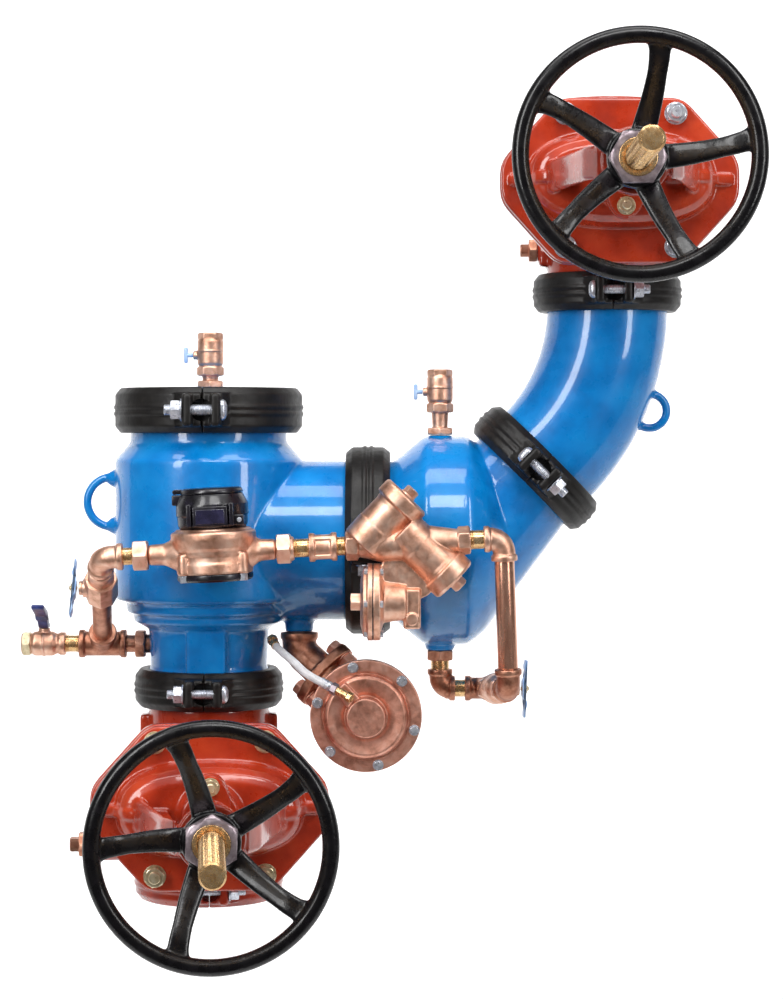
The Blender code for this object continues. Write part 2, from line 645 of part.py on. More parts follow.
def meter_outlet():
    start = bypass_point(METER_ENDS_X[1] + GAP)
    length = (bypass_point(TAILPIECE_END_X) - start).length - GAP
    at = place(start, LINE, (0, 0, 1))
    profile = [(12, length), (12, length - 11), (19, length - 11), (19, 45), (TUBE_R, 42), (TUBE_R, 25), (25, 24),
               (25, 0), (10, 0), (10, length)]
    finish_part("meter_outlet_tailpiece", BRASS, turned(profile, at, SMALL))


def bypass_check():
    start, end = bypass_point(TAILPIECE_END_X), bypass_point(BYPASS_CHECK_END_X)
    flow = place(start, LINE, (0, 0, 1))
    length = (end - start).length
    run = turned([(0, length), (15, length), (18, length - 26), (24, length - 60), (24, 40), (18, 20), (18, 0),
                  (0, 0)], flow, MEDIUM)
    first = place((223, BYPASS_Y, 483), (1, 0, 1.05), (0, -1, 0))
    second = place((278, BYPASS_Y, 489), (1, 0, -0.957), (0, -1, 0))
    towers = [turned([(0, 92), (7, 92), (7, 80), (34, 80), (34, 58), (28, 55), (28, -10), (0, -10)], first, MEDIUM),
              turned([(0, 100), (7, 100), (7, 88), (33, 88), (33, 64), (28, 60), (28, -10), (0, -10)], second, MEDIUM)]
    relief = place((232 + GAP, BYPASS_Y, 400), (1, 0, 0), (0, 0, 1))
    relief_body = turned([(0, 44), (26, 44), (26, 12), (51.5, 12), (51.5, 0), (0, 0)], relief, MEDIUM)
    outlet = block((272, BYPASS_Y - 14, 364), (296, BYPASS_Y + 14, 418), place((0, 0, 0)))
    web = block((250, BYPASS_Y - 8, 415), (290, BYPASS_Y + 8, 480), place((0, 0, 0)))
    bore = rod(9, -5, length + 5, flow, 8)
    finish_part("bypass_check_body", BRONZE, run, [*towers, relief_body, outlet, web], [bore])
    cover = turned([(0, -GAP), (51.5, -GAP), (51.5, -14), (30, -17), (14, -17), (12, -30), (0, -30)], relief, MEDIUM)
    finish_part("bypass_relief_cover", BRONZE, cover)


def bypass_outlet():
    corner = bypass_point(BYPASS_RIGHT_X)
    start = bypass_point(BYPASS_CHECK_END_X) + LINE * GAP
    down = (RISER_FOOT - corner).normalized()
    top, foot = corner + down * 30, RISER_FOOT - down * 27
    hollow(bend(start, corner, top, 18), bend(start - LINE * 5, corner, top + down * 5, 18), 15.5, 10,
           "bypass_outlet_elbow", BRONZE)
    riser = place(top + down * GAP, down)
    length = (foot - top).length - 2 * GAP
    finish_part("bypass_riser", COPPER, turned([(TUBE_R, length), (TUBE_R, 0), (11, 0), (11, length)], riser, SMALL))

    back_elbow = Vector((RISER_FOOT.x - 26, 0, RISER_FOOT.z - 18))
    run = (back_elbow - RISER_FOOT).normalized()
    foot_end = RISER_FOOT + run * 28
    hollow(bend(foot, RISER_FOOT, foot_end, 18), bend(foot - down * 5, RISER_FOOT, foot_end + run * 5, 18), 16, 10,
           "riser_foot_elbow", DARK_BRONZE)
    valve = place(foot_end + run * GAP, run)
    body = turned([(15, 118), (15, 96), (20, 82), (20, 34), (15, 20), (15, 0), (10, 0), (10, 118)], valve, SMALL)
    middle = foot_end + run * 58
    out = (Vector((1, 0, 0)) - run * run.x).normalized()
    stem = rod(8, 15, 30, place(middle, out, (0, 0, 1)))
    finish_part("outlet_shutoff_body", BRONZE, body, [stem], [rod(10, -5, 125, valve)])
    t_handle("outlet_shutoff_handle", place(middle, out, (0, 0, 1)), 37.5, 39)

    rise_x = RETURN_BOSS_X
    corner_low = Vector((rise_x, 0, back_elbow.z))
    back_start = foot_end + run * (118 + 2 * GAP)
    boss_low = Vector((rise_x, 0, CHECK_Z - 154 - GAP))
    outer = bend(back_start, back_elbow, (back_elbow + corner_low) / 2, 20)
    outer += bend((back_elbow + corner_low) / 2, corner_low, boss_low, 20)[1:]
    inner = [outer[0] - run * 5, *outer[1:-1], outer[-1] + Vector((0, 0, 5))]
    hollow(outer, inner, 15.5, 10, "return_elbow", BRONZE)


def test_cock(number, foot, riser=0.0):
    """A small ball valve on a hex foot, with this much more nipple between them."""
    at = place(foot)
    body = turned([(0, 78 + riser), (15, 78 + riser), (15, 70 + riser), (18, 66 + riser), (18, 20 + riser),
                   (11, 16 + riser), (11, 9), (18, 9), (18, 0), (0, 0)], at, SMALL)
    middle = Vector(foot) + Vector((0, 0, 46 + riser))
    stem = rod(6, 8, 24, place(middle, (-1, 0, 0), (0, 0, 1)), 8)
    bore = rod(5, -5, 60 + riser, at, 8)
    finish_part(f"test_cock_{number}_body", BRONZE, body, [stem], [bore])
    t_handle(f"test_cock_{number}_handle", place(middle, (-1, 0, 0), (0, 0, 1)), 32, 13)


gate_valve("inlet", INLET_X, VALVE_LENGTH / 2, INLET_YAW, INLET_OPENING, INLET_SPOKE_DEG)
gate_valve("outlet", OUTLET_X, OUTLET_CENTRE_Z, OUTLET_YAW, OUTLET_OPENING, OUTLET_SPOKE_DEG)
couplings()
check_body()
access_cover()
second_check_body()
outlet_elbow()
check_module("first", place((0, 0, 372 + GAP)))
check_module("second", place((250 - GAP - 16, 0, CHECK_Z), (1, 0, 0), (0, 0, 1)))
relief_valve()
sensing_hose()
bypass_inlet()
inlet_shutoff()
meter()
meter_outlet()
bypass_check()
bypass_outlet()
test_cock(1, (2, 0, 687 + GAP))
test_cock(2, (RETURN_BOSS_X, 0, CHECK_Z + 148 + GAP), 14.5)
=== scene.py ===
"""Looks of the reduced-pressure detector backflow preventer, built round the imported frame.

Sizes are in millimetres in the part's own frame: +Z up, +X to the outlet side, -Y to the handwheels.
"""

import json
import math

import bmesh
import bpy
import numpy as np
from mathutils import Matrix, Vector

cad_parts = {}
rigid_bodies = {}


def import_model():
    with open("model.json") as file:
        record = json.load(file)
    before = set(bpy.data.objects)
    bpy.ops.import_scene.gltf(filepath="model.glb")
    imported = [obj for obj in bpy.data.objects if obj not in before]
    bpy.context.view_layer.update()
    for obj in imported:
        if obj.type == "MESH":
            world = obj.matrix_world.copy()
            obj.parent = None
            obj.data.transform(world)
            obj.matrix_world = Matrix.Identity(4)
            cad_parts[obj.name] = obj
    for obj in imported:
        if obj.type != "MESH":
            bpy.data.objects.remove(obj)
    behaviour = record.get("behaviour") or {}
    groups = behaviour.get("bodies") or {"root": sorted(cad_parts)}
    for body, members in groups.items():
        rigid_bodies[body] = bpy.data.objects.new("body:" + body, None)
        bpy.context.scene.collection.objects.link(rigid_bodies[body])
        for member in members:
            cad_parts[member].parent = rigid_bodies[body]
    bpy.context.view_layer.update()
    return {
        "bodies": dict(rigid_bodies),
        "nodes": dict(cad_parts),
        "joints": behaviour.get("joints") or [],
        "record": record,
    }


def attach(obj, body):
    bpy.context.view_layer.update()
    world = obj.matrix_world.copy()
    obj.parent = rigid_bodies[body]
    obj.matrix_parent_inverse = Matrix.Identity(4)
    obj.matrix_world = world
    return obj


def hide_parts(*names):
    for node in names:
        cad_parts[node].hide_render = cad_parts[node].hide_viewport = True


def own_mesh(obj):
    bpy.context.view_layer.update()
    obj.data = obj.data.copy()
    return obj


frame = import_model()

MM = 0.001
GAP = 0.3

# Main line
PIPE_R = 84.15
BORE_R = 76.0
BIG_PIPE_R = 109.55
BIG_BORE_R = 96.5
JOINT_GAP = 2.2
VALVE_LENGTH = 266.7
OUTLET_X = 560.0
CHECK_Z = 473.0
COVER_Z = 655.5
CHECK_X = 224.0
ELBOW_CORNER_Z = 676.0
ELBOW_LEG = 143.0
ELBOW_BEND_R = 300.0
BODY_BOTTOM_Z = VALVE_LENGTH + JOINT_GAP + GAP
ELBOW_TOP_Z = ELBOW_CORNER_Z + ELBOW_LEG
OUTLET_CENTRE_Z = ELBOW_TOP_Z + JOINT_GAP + VALVE_LENGTH / 2

# Gate valves: distances "out" run from the waterway's axis towards the handwheel
INLET_YAW = math.radians(4.4)
OUTLET_YAW = math.radians(-0.9)
CAVITY_R = 82.0
CAVITY_HALF = 29.5
FLANGE_OUT = 222.0
FLANGE_THICK = 17.5
BONNET_OUT = FLANGE_OUT + FLANGE_THICK + GAP
BONNET_FACE = BONNET_OUT + FLANGE_THICK
BONNET_FLANGE = [(157, -25), (157, 25), (82, 106), (-82, 106), (-157, 25), (-157, -25), (-82, -106),
                 (82, -106)]
DOME_OUT = 304.0
STUFFING_OUT = 342.0
STEM_R = 15.9
STEM_LENGTH = 565.0
STEM_POCKET = 40.0
THREAD_START_OUT = 436.0
STEM_LEAD = 8.0
STEM_STARTS = 2
NUT_R = 23.5
HUB_OUT = 505.3
WHEEL_NUT_OUT = 531.0
RIM_OUT = 570.0
RIM_R = 141.7
RIM_SECTION_R = 10.5
SPOKES = 5
INLET_OPENING = 160.0
OUTLET_OPENING = 130.0
INLET_SPOKE_DEG = 36.5
OUTLET_SPOKE_DEG = 8.0
INLET_PLUG = (-162, -170, -58)
OUTLET_PLUG = (-98, 0, -74)

# Couplings: pipe radius, housing radius and width, and an ear's half width as a share of that width
SMALL_HOUSING = (PIPE_R, 105.0, 53.0)
COVER_HOUSING = (BIG_PIPE_R, 133.0, 63.0)
CHECK_HOUSING = (BIG_PIPE_R, 133.0, 62.0)
EAR_SHARE = 0.36

# Bypass line
BYPASS_Y = -200.0
BYPASS_RISE = 0.0479
BYPASS_LEFT = Vector((-130.0, BYPASS_Y, 458.7))
TEE = Vector((-149.0, 0.0, 327.7))
TUBE_R = 13.35
METER_X = 21.3
METER_ENDS_X = (-66.0, 104.0)
METER_LUG_DEG = (38, 142, 218, 322)
TAILPIECE_END_X = 195.7
BYPASS_CHECK_END_X = 361.7
BYPASS_RIGHT_X = 405.6
RISER_FOOT = Vector((413.0, -190.0, 283.0))
RETURN_BOSS_X = 325.0
LINE = Vector((1, 0, BYPASS_RISE)).normalized()
CLIMB = (BYPASS_LEFT - TEE).normalized()

# Relief valve
RELIEF_PORT = Vector((127.0, 0.0, 344.0))
RELIEF_CENTRE = Vector((222.0, 0.0, 238.0))
COVER_SCREW_DEG = (105.0, 44.5, -16.0, -76.0, -135.6, 164.5)
HOSE_ROUTE = [(189, -144, 273), (180, -150, 279), (144, -137, 297), (125, -115, 311), (100, -75, 328),
              (90, -50, 340)]

# Camera
CAMERA_AT = Vector((256.8, -3570.0, 628.2)) * MM
CAMERA_LENS = 91.33
CAMERA_SHIFT_Y = -0.07


# ---------------------------------------------------------------- placing


def place(origin, axis=(0, 0, 1), side=(1, 0, 0), frame=None):
    """The matrix that puts a shape's own Z along axis and its X towards side, at origin, inside frame."""
    z, side = Vector(axis).normalized(), Vector(side)
    if abs(z.dot(side.normalized())) > 0.999:
        side = Vector((0, 0, 1))
    x = (side - z * z.dot(side)).normalized()
    matrix = Matrix((x, z.cross(x), z)).transposed().to_4x4()
    matrix.translation = Vector(origin) * MM
    return frame @ matrix if frame else matrix


def front_of(frame):
    """X to the right, Y up and Z out towards the handwheel."""
    return place((0, 0, 0), (0, -1, 0), (1, 0, 0), frame)


def side_on_to(frame):
    """X to the right, Y out towards the handwheel and Z down."""
    return place((0, 0, 0), (0, 0, -1), (1, 0, 0), frame)


def lift(at, distance, x=0.0, y=0.0):
    """The same placing, moved along its own axes."""
    return at @ Matrix.Translation(Vector((x, y, distance)) * MM)


def turned(at, degrees):
    """The same placing, turned about its own Z."""
    return at @ Matrix.Rotation(math.radians(degrees), 4, "Z")


def flipped(at):
    """The same placing, turned over about its own X."""
    return at @ Matrix.Rotation(math.pi, 4, "X")


# ---------------------------------------------------------------- shapes: each is (points in metres, faces)


def loft(rings, at, looped=False):
    """A closed solid through rings of millimetre points, capped at its ends unless it is looped."""
    count = len(rings[0])
    points = np.concatenate([np.asarray(ring, float) for ring in rings]) * MM
    rotation, shift = np.array(at.to_3x3()), np.array(at.translation)
    faces = []
    for i in range(len(rings) if looped else len(rings) - 1):
        low, high = i * count, (i + 1) % len(rings) * count
        for j in range(count):
            k = (j + 1) % count
            faces.append((low + j, low + k, high + k, high + j))
    if not looped:
        last = (len(rings) - 1) * count
        faces.append(tuple(range(count - 1, -1, -1)))
        faces.append(tuple(range(last, last + count)))
    return points @ rotation.T + shift, faces


def soften(points, size, looped=True, steps=3):
    """Rounds each corner of a run of points with a short curve that starts this far from it."""
    points = [Vector(p) for p in points]
    result = []
    for i, corner in enumerate(points):
        before = points[i - 1] - corner
        after = points[(i + 1) % len(points)] - corner
        reach = min(size, before.length * 0.45, after.length * 0.45)
        end_point = not looped and i in (0, len(points) - 1)
        if end_point or reach < 0.05 or before.angle(-after) < 0.03:
            result.append(corner)
            continue
        start, end = corner + before.normalized() * reach, corner + after.normalized() * reach
        for step in range(steps + 1):
            t = step / steps
            result.append(start * (1 - t) ** 2 + corner * (2 * t * (1 - t)) + end * t**2)
    return result


def circle(count):
    """The X and Y of this many points round a unit circle."""
    angles = np.arange(count) * (math.tau / count)
    return np.cos(angles), np.sin(angles)


def lathe(profile, at, sides=64, soft=1.2):
    """A turned solid from (radius, height) points with softened corners; off the axis, they make a loop."""
    looped = profile[0][0] > 0
    x, y = circle(sides)
    rings = [np.stack((r * x, r * y, np.full(sides, z)), 1) for r, z in soften(profile, soft, looped)]
    return loft(rings, at, looped)


def rod(radius, start, end, at, sides=48, soft=0.8):
    return lathe([(0, end), (radius, end), (radius, start), (0, start)], at, sides, soft)


def torus(mean_r, section_r, height, at, sides=96, section_sides=24):
    x, y = circle(section_sides)
    profile = [(mean_r + section_r * a, height + section_r * b) for a, b in zip(x, y)]
    return lathe(profile, at, sides, 0)


def oval(half_x, half_y, height, power=2.5, count=72):
    """One ring of points round a rounded rectangle."""
    x, y = circle(count)
    x = np.sign(x) * np.abs(x) ** (2 / power) * half_x
    y = np.sign(y) * np.abs(y) ** (2 / power) * half_y
    return np.stack((x, y, np.full(count, height)), 1)


def inset(outline, amount):
    """A counter-clockwise outline moved inwards."""
    result = []
    for before, point, after in zip(outline[-1:] + outline[:-1], outline, outline[1:] + outline[:1]):
        a, b = (point - before).normalized(), (after - point).normalized()
        first, second = Vector((-a.y, a.x)), Vector((-b.y, b.x))
        result.append(point + (first + second) * (amount / max(0.4, 1 + first.dot(second))))
    return result


def prism(outline, start, end, at, soft=2.0, bevel=1.2):
    """A flat outline in the shape's own XY plane, extruded along its Z, with rounded corners and edges."""
    outline = [Vector(p) for p in outline]
    area = sum(a.x * b.y - b.x * a.y for a, b in zip(outline, outline[1:] + outline[:1]))
    outline = soften(outline if area > 0 else outline[::-1], soft)
    rings = []
    for height, way in ((start, 1), (end, -1)):
        half = []
        for degrees in (0, 30, 60, 90):
            angle = math.radians(degrees)
            z = height + way * bevel * (1 - math.cos(angle))
            half.append([(p.x, p.y, z) for p in inset(outline, bevel * (1 - math.sin(angle)))])
        rings += half if way > 0 else half[::-1]
    return loft(rings, at)


def box(corner, opposite, at, bevel=2.0):
    """A block between two opposite corners, given in either order."""
    (x0, x1), (y0, y1), (z0, z1) = (sorted(pair) for pair in zip(corner, opposite))
    return prism([(x0, y0), (x1, y0), (x1, y1), (x0, y1)], z0, z1, at, bevel, bevel)


def sweep(path, radius, at=Matrix(), sides=24, side=(0, 1, 0), flat=1.0, power=2.0):
    """A bar along a path; radius is one number or one for each point, and flat thins its second way."""
    path = [Vector(p) for p in path]
    radii = np.broadcast_to(np.asarray(radius, float), (len(path),))
    section = oval(1, flat, 0, power, sides)
    normal = Vector(side)
    rings = []
    for i, (point, r) in enumerate(zip(path, radii)):
        tangent = (path[min(i + 1, len(path) - 1)] - path[max(i - 1, 0)]).normalized()
        normal = (normal - tangent * normal.dot(tangent)).normalized()
        across = tangent.cross(normal)
        offsets = np.outer(section[:, 0], normal) + np.outer(section[:, 1], across)
        rings.append(np.array(point) + r * offsets)
    return loft(rings, at)


def flats(across, start, end, at, sides=6, samples=8):
    """A hexagon or square with its corners chamfered at both ends, as on a nut or a plug."""
    step = math.tau / sides
    count = sides * samples
    angles = np.arange(count) * (math.tau / count)
    wall = across / 2 / np.cos((angles + step / 2) % step - step / 2)
    corner = across / 2 / math.cos(step / 2)
    low_limit = across / 2 * 0.98
    rise = (corner - low_limit) * 0.55
    rings = []
    for height, way in ((start, 1), (end, -1)):
        half = []
        for share in (0, 0.5, 1):
            r = np.minimum(wall, low_limit + (corner - low_limit) * share)
            z = np.full(count, height + way * rise * share)
            half.append(np.stack((r * np.cos(angles), r * np.sin(angles), z), 1))
        rings += half if way > 0 else half[::-1]
    return loft(rings, at)


def thread(radius, start, end, pitch, at, sides=24, starts=1):
    """A screw thread along the shape's own Z, chamfered at both ends."""
    rows = max(4, round((end - start) / pitch * 6))
    angles = np.arange(sides) * (math.tau / sides)
    rings = []
    for i in range(rows + 1):
        z = start + (end - start) * i / rows
        crest = np.clip(0.5 + 0.9 * np.cos(math.tau * z / pitch - starts * angles), 0, 1)
        chamfer = max(0.0, pitch * 0.6 - min(z - start, end - z))
        r = radius - np.maximum(pitch * 0.3 * (1 - crest), chamfer)
        rings.append(np.stack((r * np.cos(angles), r * np.sin(angles), np.full(sides, z)), 1))
    return loft(rings, at)


def nut(at, across, height, stud_r=0.0, stud_end=0.0):
    """A hex nut on a washer, seated on the shape's own XY plane, with its stud's end through it."""
    shapes = [rod(across * 0.62, 0, across * 0.09, at, 40, 0.4), flats(across, across * 0.09, height, at)]
    if stud_r:
        shapes.append(thread(stud_r, -2, stud_end, 2.0, at))
    return shapes


def arc(centre, radius, start_deg, end_deg, steps):
    """Points along an arc in the XZ plane."""
    points = []
    for i in range(steps + 1):
        angle = math.radians(start_deg + (end_deg - start_deg) * i / steps)
        points.append(Vector((centre[0] + radius * math.cos(angle), centre[1],
                              centre[2] + radius * math.sin(angle))))
    return points


def bend(start, corner, end, radius, steps=10):
    """Points from start to end round a corner of this bend radius."""
    start, corner, end = Vector(start), Vector(corner), Vector(end)
    first, last = (start - corner).normalized(), (end - corner).normalized()
    half = first.angle(last) / 2
    centre = corner + (first + last).normalized() * (radius / math.sin(half))
    tangent = radius / math.tan(half)
    spoke, far_spoke = corner + first * tangent - centre, corner + last * tangent - centre
    axis, whole = spoke.cross(far_spoke), spoke.angle(far_spoke)
    turns = [Matrix.Rotation(whole * i / steps, 3, axis) for i in range(steps + 1)]
    return [start, *[centre + turn @ spoke for turn in turns], end]


def smooth(points, per_span=4):
    """A Catmull-Rom curve through the points."""
    path = [Vector(p) for p in points]
    path = [path[0] * 2 - path[1], *path, path[-1] * 2 - path[-2]]
    result = []
    for a, b, c, d in zip(path, path[1:], path[2:], path[3:]):
        for i in range(per_span):
            t = i / per_span
            result.append(0.5 * (2 * b + (c - a) * t + (2 * a - 5 * b + 4 * c - d) * t**2
                                 + (3 * b - a - 3 * c + d) * t**3))
    return result + [path[-2]]


# ---------------------------------------------------------------- making pieces


def mesh_of(shapes):
    """One mesh of closed shells with their faces pointing out."""
    points, faces, start = [], [], 0
    for shape_points, shape_faces in shapes:
        points.append(shape_points)
        faces += [tuple(start + i for i in face) for face in shape_faces]
        start += len(shape_points)
    mesh = bpy.data.meshes.new("shape")
    mesh.from_pydata(np.concatenate(points).tolist(), [], faces)
    bm = bmesh.new()
    bm.from_mesh(mesh)
    bmesh.ops.remove_doubles(bm, verts=bm.verts, dist=0.000002)
    bmesh.ops.recalc_face_normals(bm, faces=bm.faces)
    bm.to_mesh(mesh)
    bm.free()
    return mesh


def helper(mesh):
    obj = bpy.data.objects.new("helper", mesh)
    bpy.context.scene.collection.objects.link(obj)
    return obj


def drilled(source, cuts):
    """A helper object's mesh, with its modifiers applied and holes cut through it."""
    cutters = [helper(mesh_of([cut])) for cut in cuts]
    for cutter in cutters:
        hole = source.modifiers.new("Hole", "BOOLEAN")
        hole.operation = "DIFFERENCE"
        hole.solver = "MANIFOLD"
        hole.object = cutter
    graph = bpy.context.evaluated_depsgraph_get()
    mesh = bpy.data.meshes.new_from_object(source.evaluated_get(graph))
    for obj in (source, *cutters):
        bpy.data.objects.remove(obj)
    return mesh


def cast(shapes, voxel, cuts=(), rounds=4):
    """A casting: overlapping shapes blended into one skin, with holes cut through it afterwards."""
    source = helper(mesh_of(shapes))
    blend = source.modifiers.new("Blend", "REMESH")
    blend.mode = "VOXEL"
    blend.voxel_size = voxel * MM * 1
    relax = source.modifiers.new("Relax", "SMOOTH")
    relax.iterations = rounds
    return drilled(source, cuts)


def piece(name, made, material, body="root", replaces=(), sharp_deg=38):
    """Shows a mesh, or a list of shapes, as a named piece on a body, in place of CAD nodes."""
    mesh = mesh_of(made) if isinstance(made, list) else made
    mesh.name = name
    mesh.materials.clear()
    mesh.materials.append(MATERIALS[material])
    mesh.shade_smooth()
    mesh.set_sharp_from_angle(angle=math.radians(sharp_deg))
    obj = bpy.data.objects.new(name, mesh)
    bpy.context.scene.collection.objects.link(obj)
    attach(obj, body)
    SLOTS.get(material, material)
    if replaces:
        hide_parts(*replaces)
    return obj


# ---------------------------------------------------------------- materials


def tone(red, green, blue):
    """A linear colour from 0 to 255 screen values."""
    shares = [value / 255 for value in (red, green, blue)]
    return tuple(s / 12.92 if s < 0.04045 else ((s + 0.055) / 1.055) ** 2.4 for s in shares) + (1.0,)


def grey(level):
    return (level, level, level, 1)


class Surface:
    """Builds one procedural material in object coordinates, in metres."""

    def __init__(self, name, metallic=0.0, coat=0.0, specular=0.5, stretch=(1, 1, 1)):
        self.material = bpy.data.materials.new(name)
        self.material.use_nodes = True
        tree = self.material.node_tree
        self.nodes, self.links = tree.nodes, tree.links
        self.shader = self.nodes["Principled BSDF"]
        self.shader.inputs["Metallic"].default_value = metallic
        self.shader.inputs["Coat Weight"].default_value = coat
        self.shader.inputs["Coat Roughness"].default_value = 0.06
        self.shader.inputs["Specular IOR Level"].default_value = specular
        mapping = self.node("Mapping", Scale=stretch)
        self.links.new(self.node("TexCoord").outputs["Object"], mapping.inputs["Vector"])
        self.vector = mapping.outputs["Vector"]
        self.normal = None

    def node(self, kind, **settings):
        """A new node with these input values; an underscore stands for a space."""
        made = self.nodes.new("ShaderNode" + kind)
        for name, value in settings.items():
            made.inputs[name.replace("_", " ")].default_value = value
        return made

    def noise(self, scale, detail=4.0, roughness=0.55, distortion=0.0):
        node = self.node("TexNoise", Scale=scale, Detail=detail, Roughness=roughness, Distortion=distortion)
        self.links.new(self.vector, node.inputs["Vector"])
        return node.outputs["Fac"]

    def share(self, value, low, high, at_low=0.0, at_high=1.0):
        """Runs from at_low to at_high as the value goes from low to high."""
        node = self.node("MapRange", From_Min=low, From_Max=high, To_Min=at_low, To_Max=at_high)
        self.links.new(value, node.inputs["Value"])
        return node.outputs["Result"]

    def height(self, low, high):
        """How far up a point is between two heights, from 0 to 1."""
        split = self.node("SeparateXYZ")
        self.links.new(self.vector, split.inputs["Vector"])
        return self.share(split.outputs["Z"], low, high)

    def ramp(self, value, stops):
        node = self.node("ValToRGB")
        elements = node.color_ramp.elements
        while len(elements) < len(stops):
            elements.new(0.5)
        for element, (position, colour) in zip(elements, stops):
            element.position = position
            element.color = colour
        self.links.new(value, node.inputs["Fac"])
        return node.outputs["Color"]

    def mix(self, share, first, second):
        node = self.node("Mix")
        node.data_type = "RGBA"
        self.links.new(share, node.inputs["Factor"])
        self.links.new(first, node.inputs["A"])
        if isinstance(second, tuple):
            node.inputs["B"].default_value = second
        else:
            self.links.new(second, node.inputs["B"])
        return node.outputs["Result"]

    def edges(self, low, high):
        """A share that runs from 0 at low to 1 at high as the surface turns from hollows to edges."""
        return self.share(self.node("NewGeometry").outputs["Pointiness"], low, high)

    def mottle(self, shades, stops, *noise):
        """Noise that runs through dark, main and light screen colours at these stops."""
        return self.ramp(self.noise(*noise), [(stop, tone(*shade)) for stop, shade in zip(stops, shades)])

    def colour(self, output):
        self.links.new(output, self.shader.inputs["Base Color"])

    def roughness(self, scale, low, high):
        self.links.new(self.share(self.noise(scale), 0.3, 0.7, low, high), self.shader.inputs["Roughness"])

    def bump(self, scale, strength, depth_mm, detail=2.0):
        """Adds relief of this depth; later calls add to earlier ones."""
        node = self.node("Bump", Strength=strength, Distance=depth_mm * MM)
        self.links.new(self.noise(scale, detail), node.inputs["Height"])
        if self.normal:
            self.links.new(self.normal, node.inputs["Normal"])
        self.normal = node.outputs["Normal"]
        self.links.new(self.normal, self.shader.inputs["Normal"])


def gloss_paint(name, shades, chip):
    """Thick enamel on a sand casting: slow waves, orange peel, and thin worn edges."""
    surface = Surface(name, coat=0.8, specular=0.3)
    mottled = surface.mottle(shades, (0.3, 0.5, 0.72), 16, 5)
    surface.colour(surface.mix(surface.edges(0.56, 0.66), mottled, tone(*chip)))
    surface.roughness(45, 0.22, 0.4)
    surface.bump(38, 0.25, 1.6, 3)
    surface.bump(300, 0.30, 0.28, 2)
    return surface.material


def black_enamel():
    """The handwheels' paint: near black, with rubbed edges and fine grain."""
    surface = Surface("black_enamel", coat=0.22, specular=0.3)
    worn = surface.mottle([(7, 6, 8), (13, 11, 14), (26, 22, 28)], (0.35, 0.6, 0.8), 60, 6)
    surface.colour(surface.mix(surface.edges(0.55, 0.66), worn, tone(58, 50, 58)))
    surface.roughness(70, 0.20, 0.38)
    surface.bump(160, 0.45, 0.7, 4)
    surface.bump(700, 0.35, 0.18, 2)
    return surface.material


def coupling_paint():
    """The housings' duller black paint."""
    surface = Surface("coupling_black", specular=0.35)
    worn = surface.mottle([(17, 15, 15), (26, 24, 23), (40, 37, 34)], (0.3, 0.55, 0.8), 45, 6)
    surface.colour(surface.mix(surface.edges(0.53, 0.64), worn, tone(74, 70, 64)))
    surface.roughness(80, 0.32, 0.52)
    surface.bump(220, 0.5, 0.5, 4)
    return surface.material


def cast_metal(name, shades, rough):
    """Sand-cast bronze: patina in the hollows, bright rubbed edges, sandy grain."""
    surface = Surface(name, metallic=1.0)
    patina = surface.mottle(shades, (0.28, 0.5, 0.74), 55, 8, 0.62, 0.4)
    rubbed = surface.mix(surface.edges(0.51, 0.60), patina, tone(*shades[2]))
    hollow = surface.edges(0.49, 0.42)
    surface.colour(surface.mix(hollow, rubbed, tone(*shades[0])))
    surface.roughness(140, *rough)
    surface.bump(210, 0.35, 0.45, 4)
    surface.bump(1100, 0.45, 0.22, 2)
    return surface.material


def machined(name, shades, rough, metallic=0.7, stretch=(1, 1, 1)):
    """Turned or plated metal with fine tool marks and faint stains."""
    surface = Surface(name, metallic=metallic, stretch=stretch)
    surface.colour(surface.mottle(shades, (0.28, 0.5, 0.75), 120, 6, 0.6))
    surface.roughness(260, *rough)
    surface.bump(900, 0.18, 0.10, 3)
    return surface.material


def dull(name, shades, rough, grain_scale, coat, grain=0.3):
    """Moulded plastic, dipped vinyl or powder paint."""
    surface = Surface(name, coat=coat)
    mottled = surface.mottle(shades, (0.3, 0.5, 0.72), 70, 5)
    surface.colour(surface.mix(surface.edges(0.53, 0.63), mottled, tone(*shades[2])))
    surface.roughness(120, *rough)
    surface.bump(grain_scale, grain, 0.15, 3)
    return surface.material


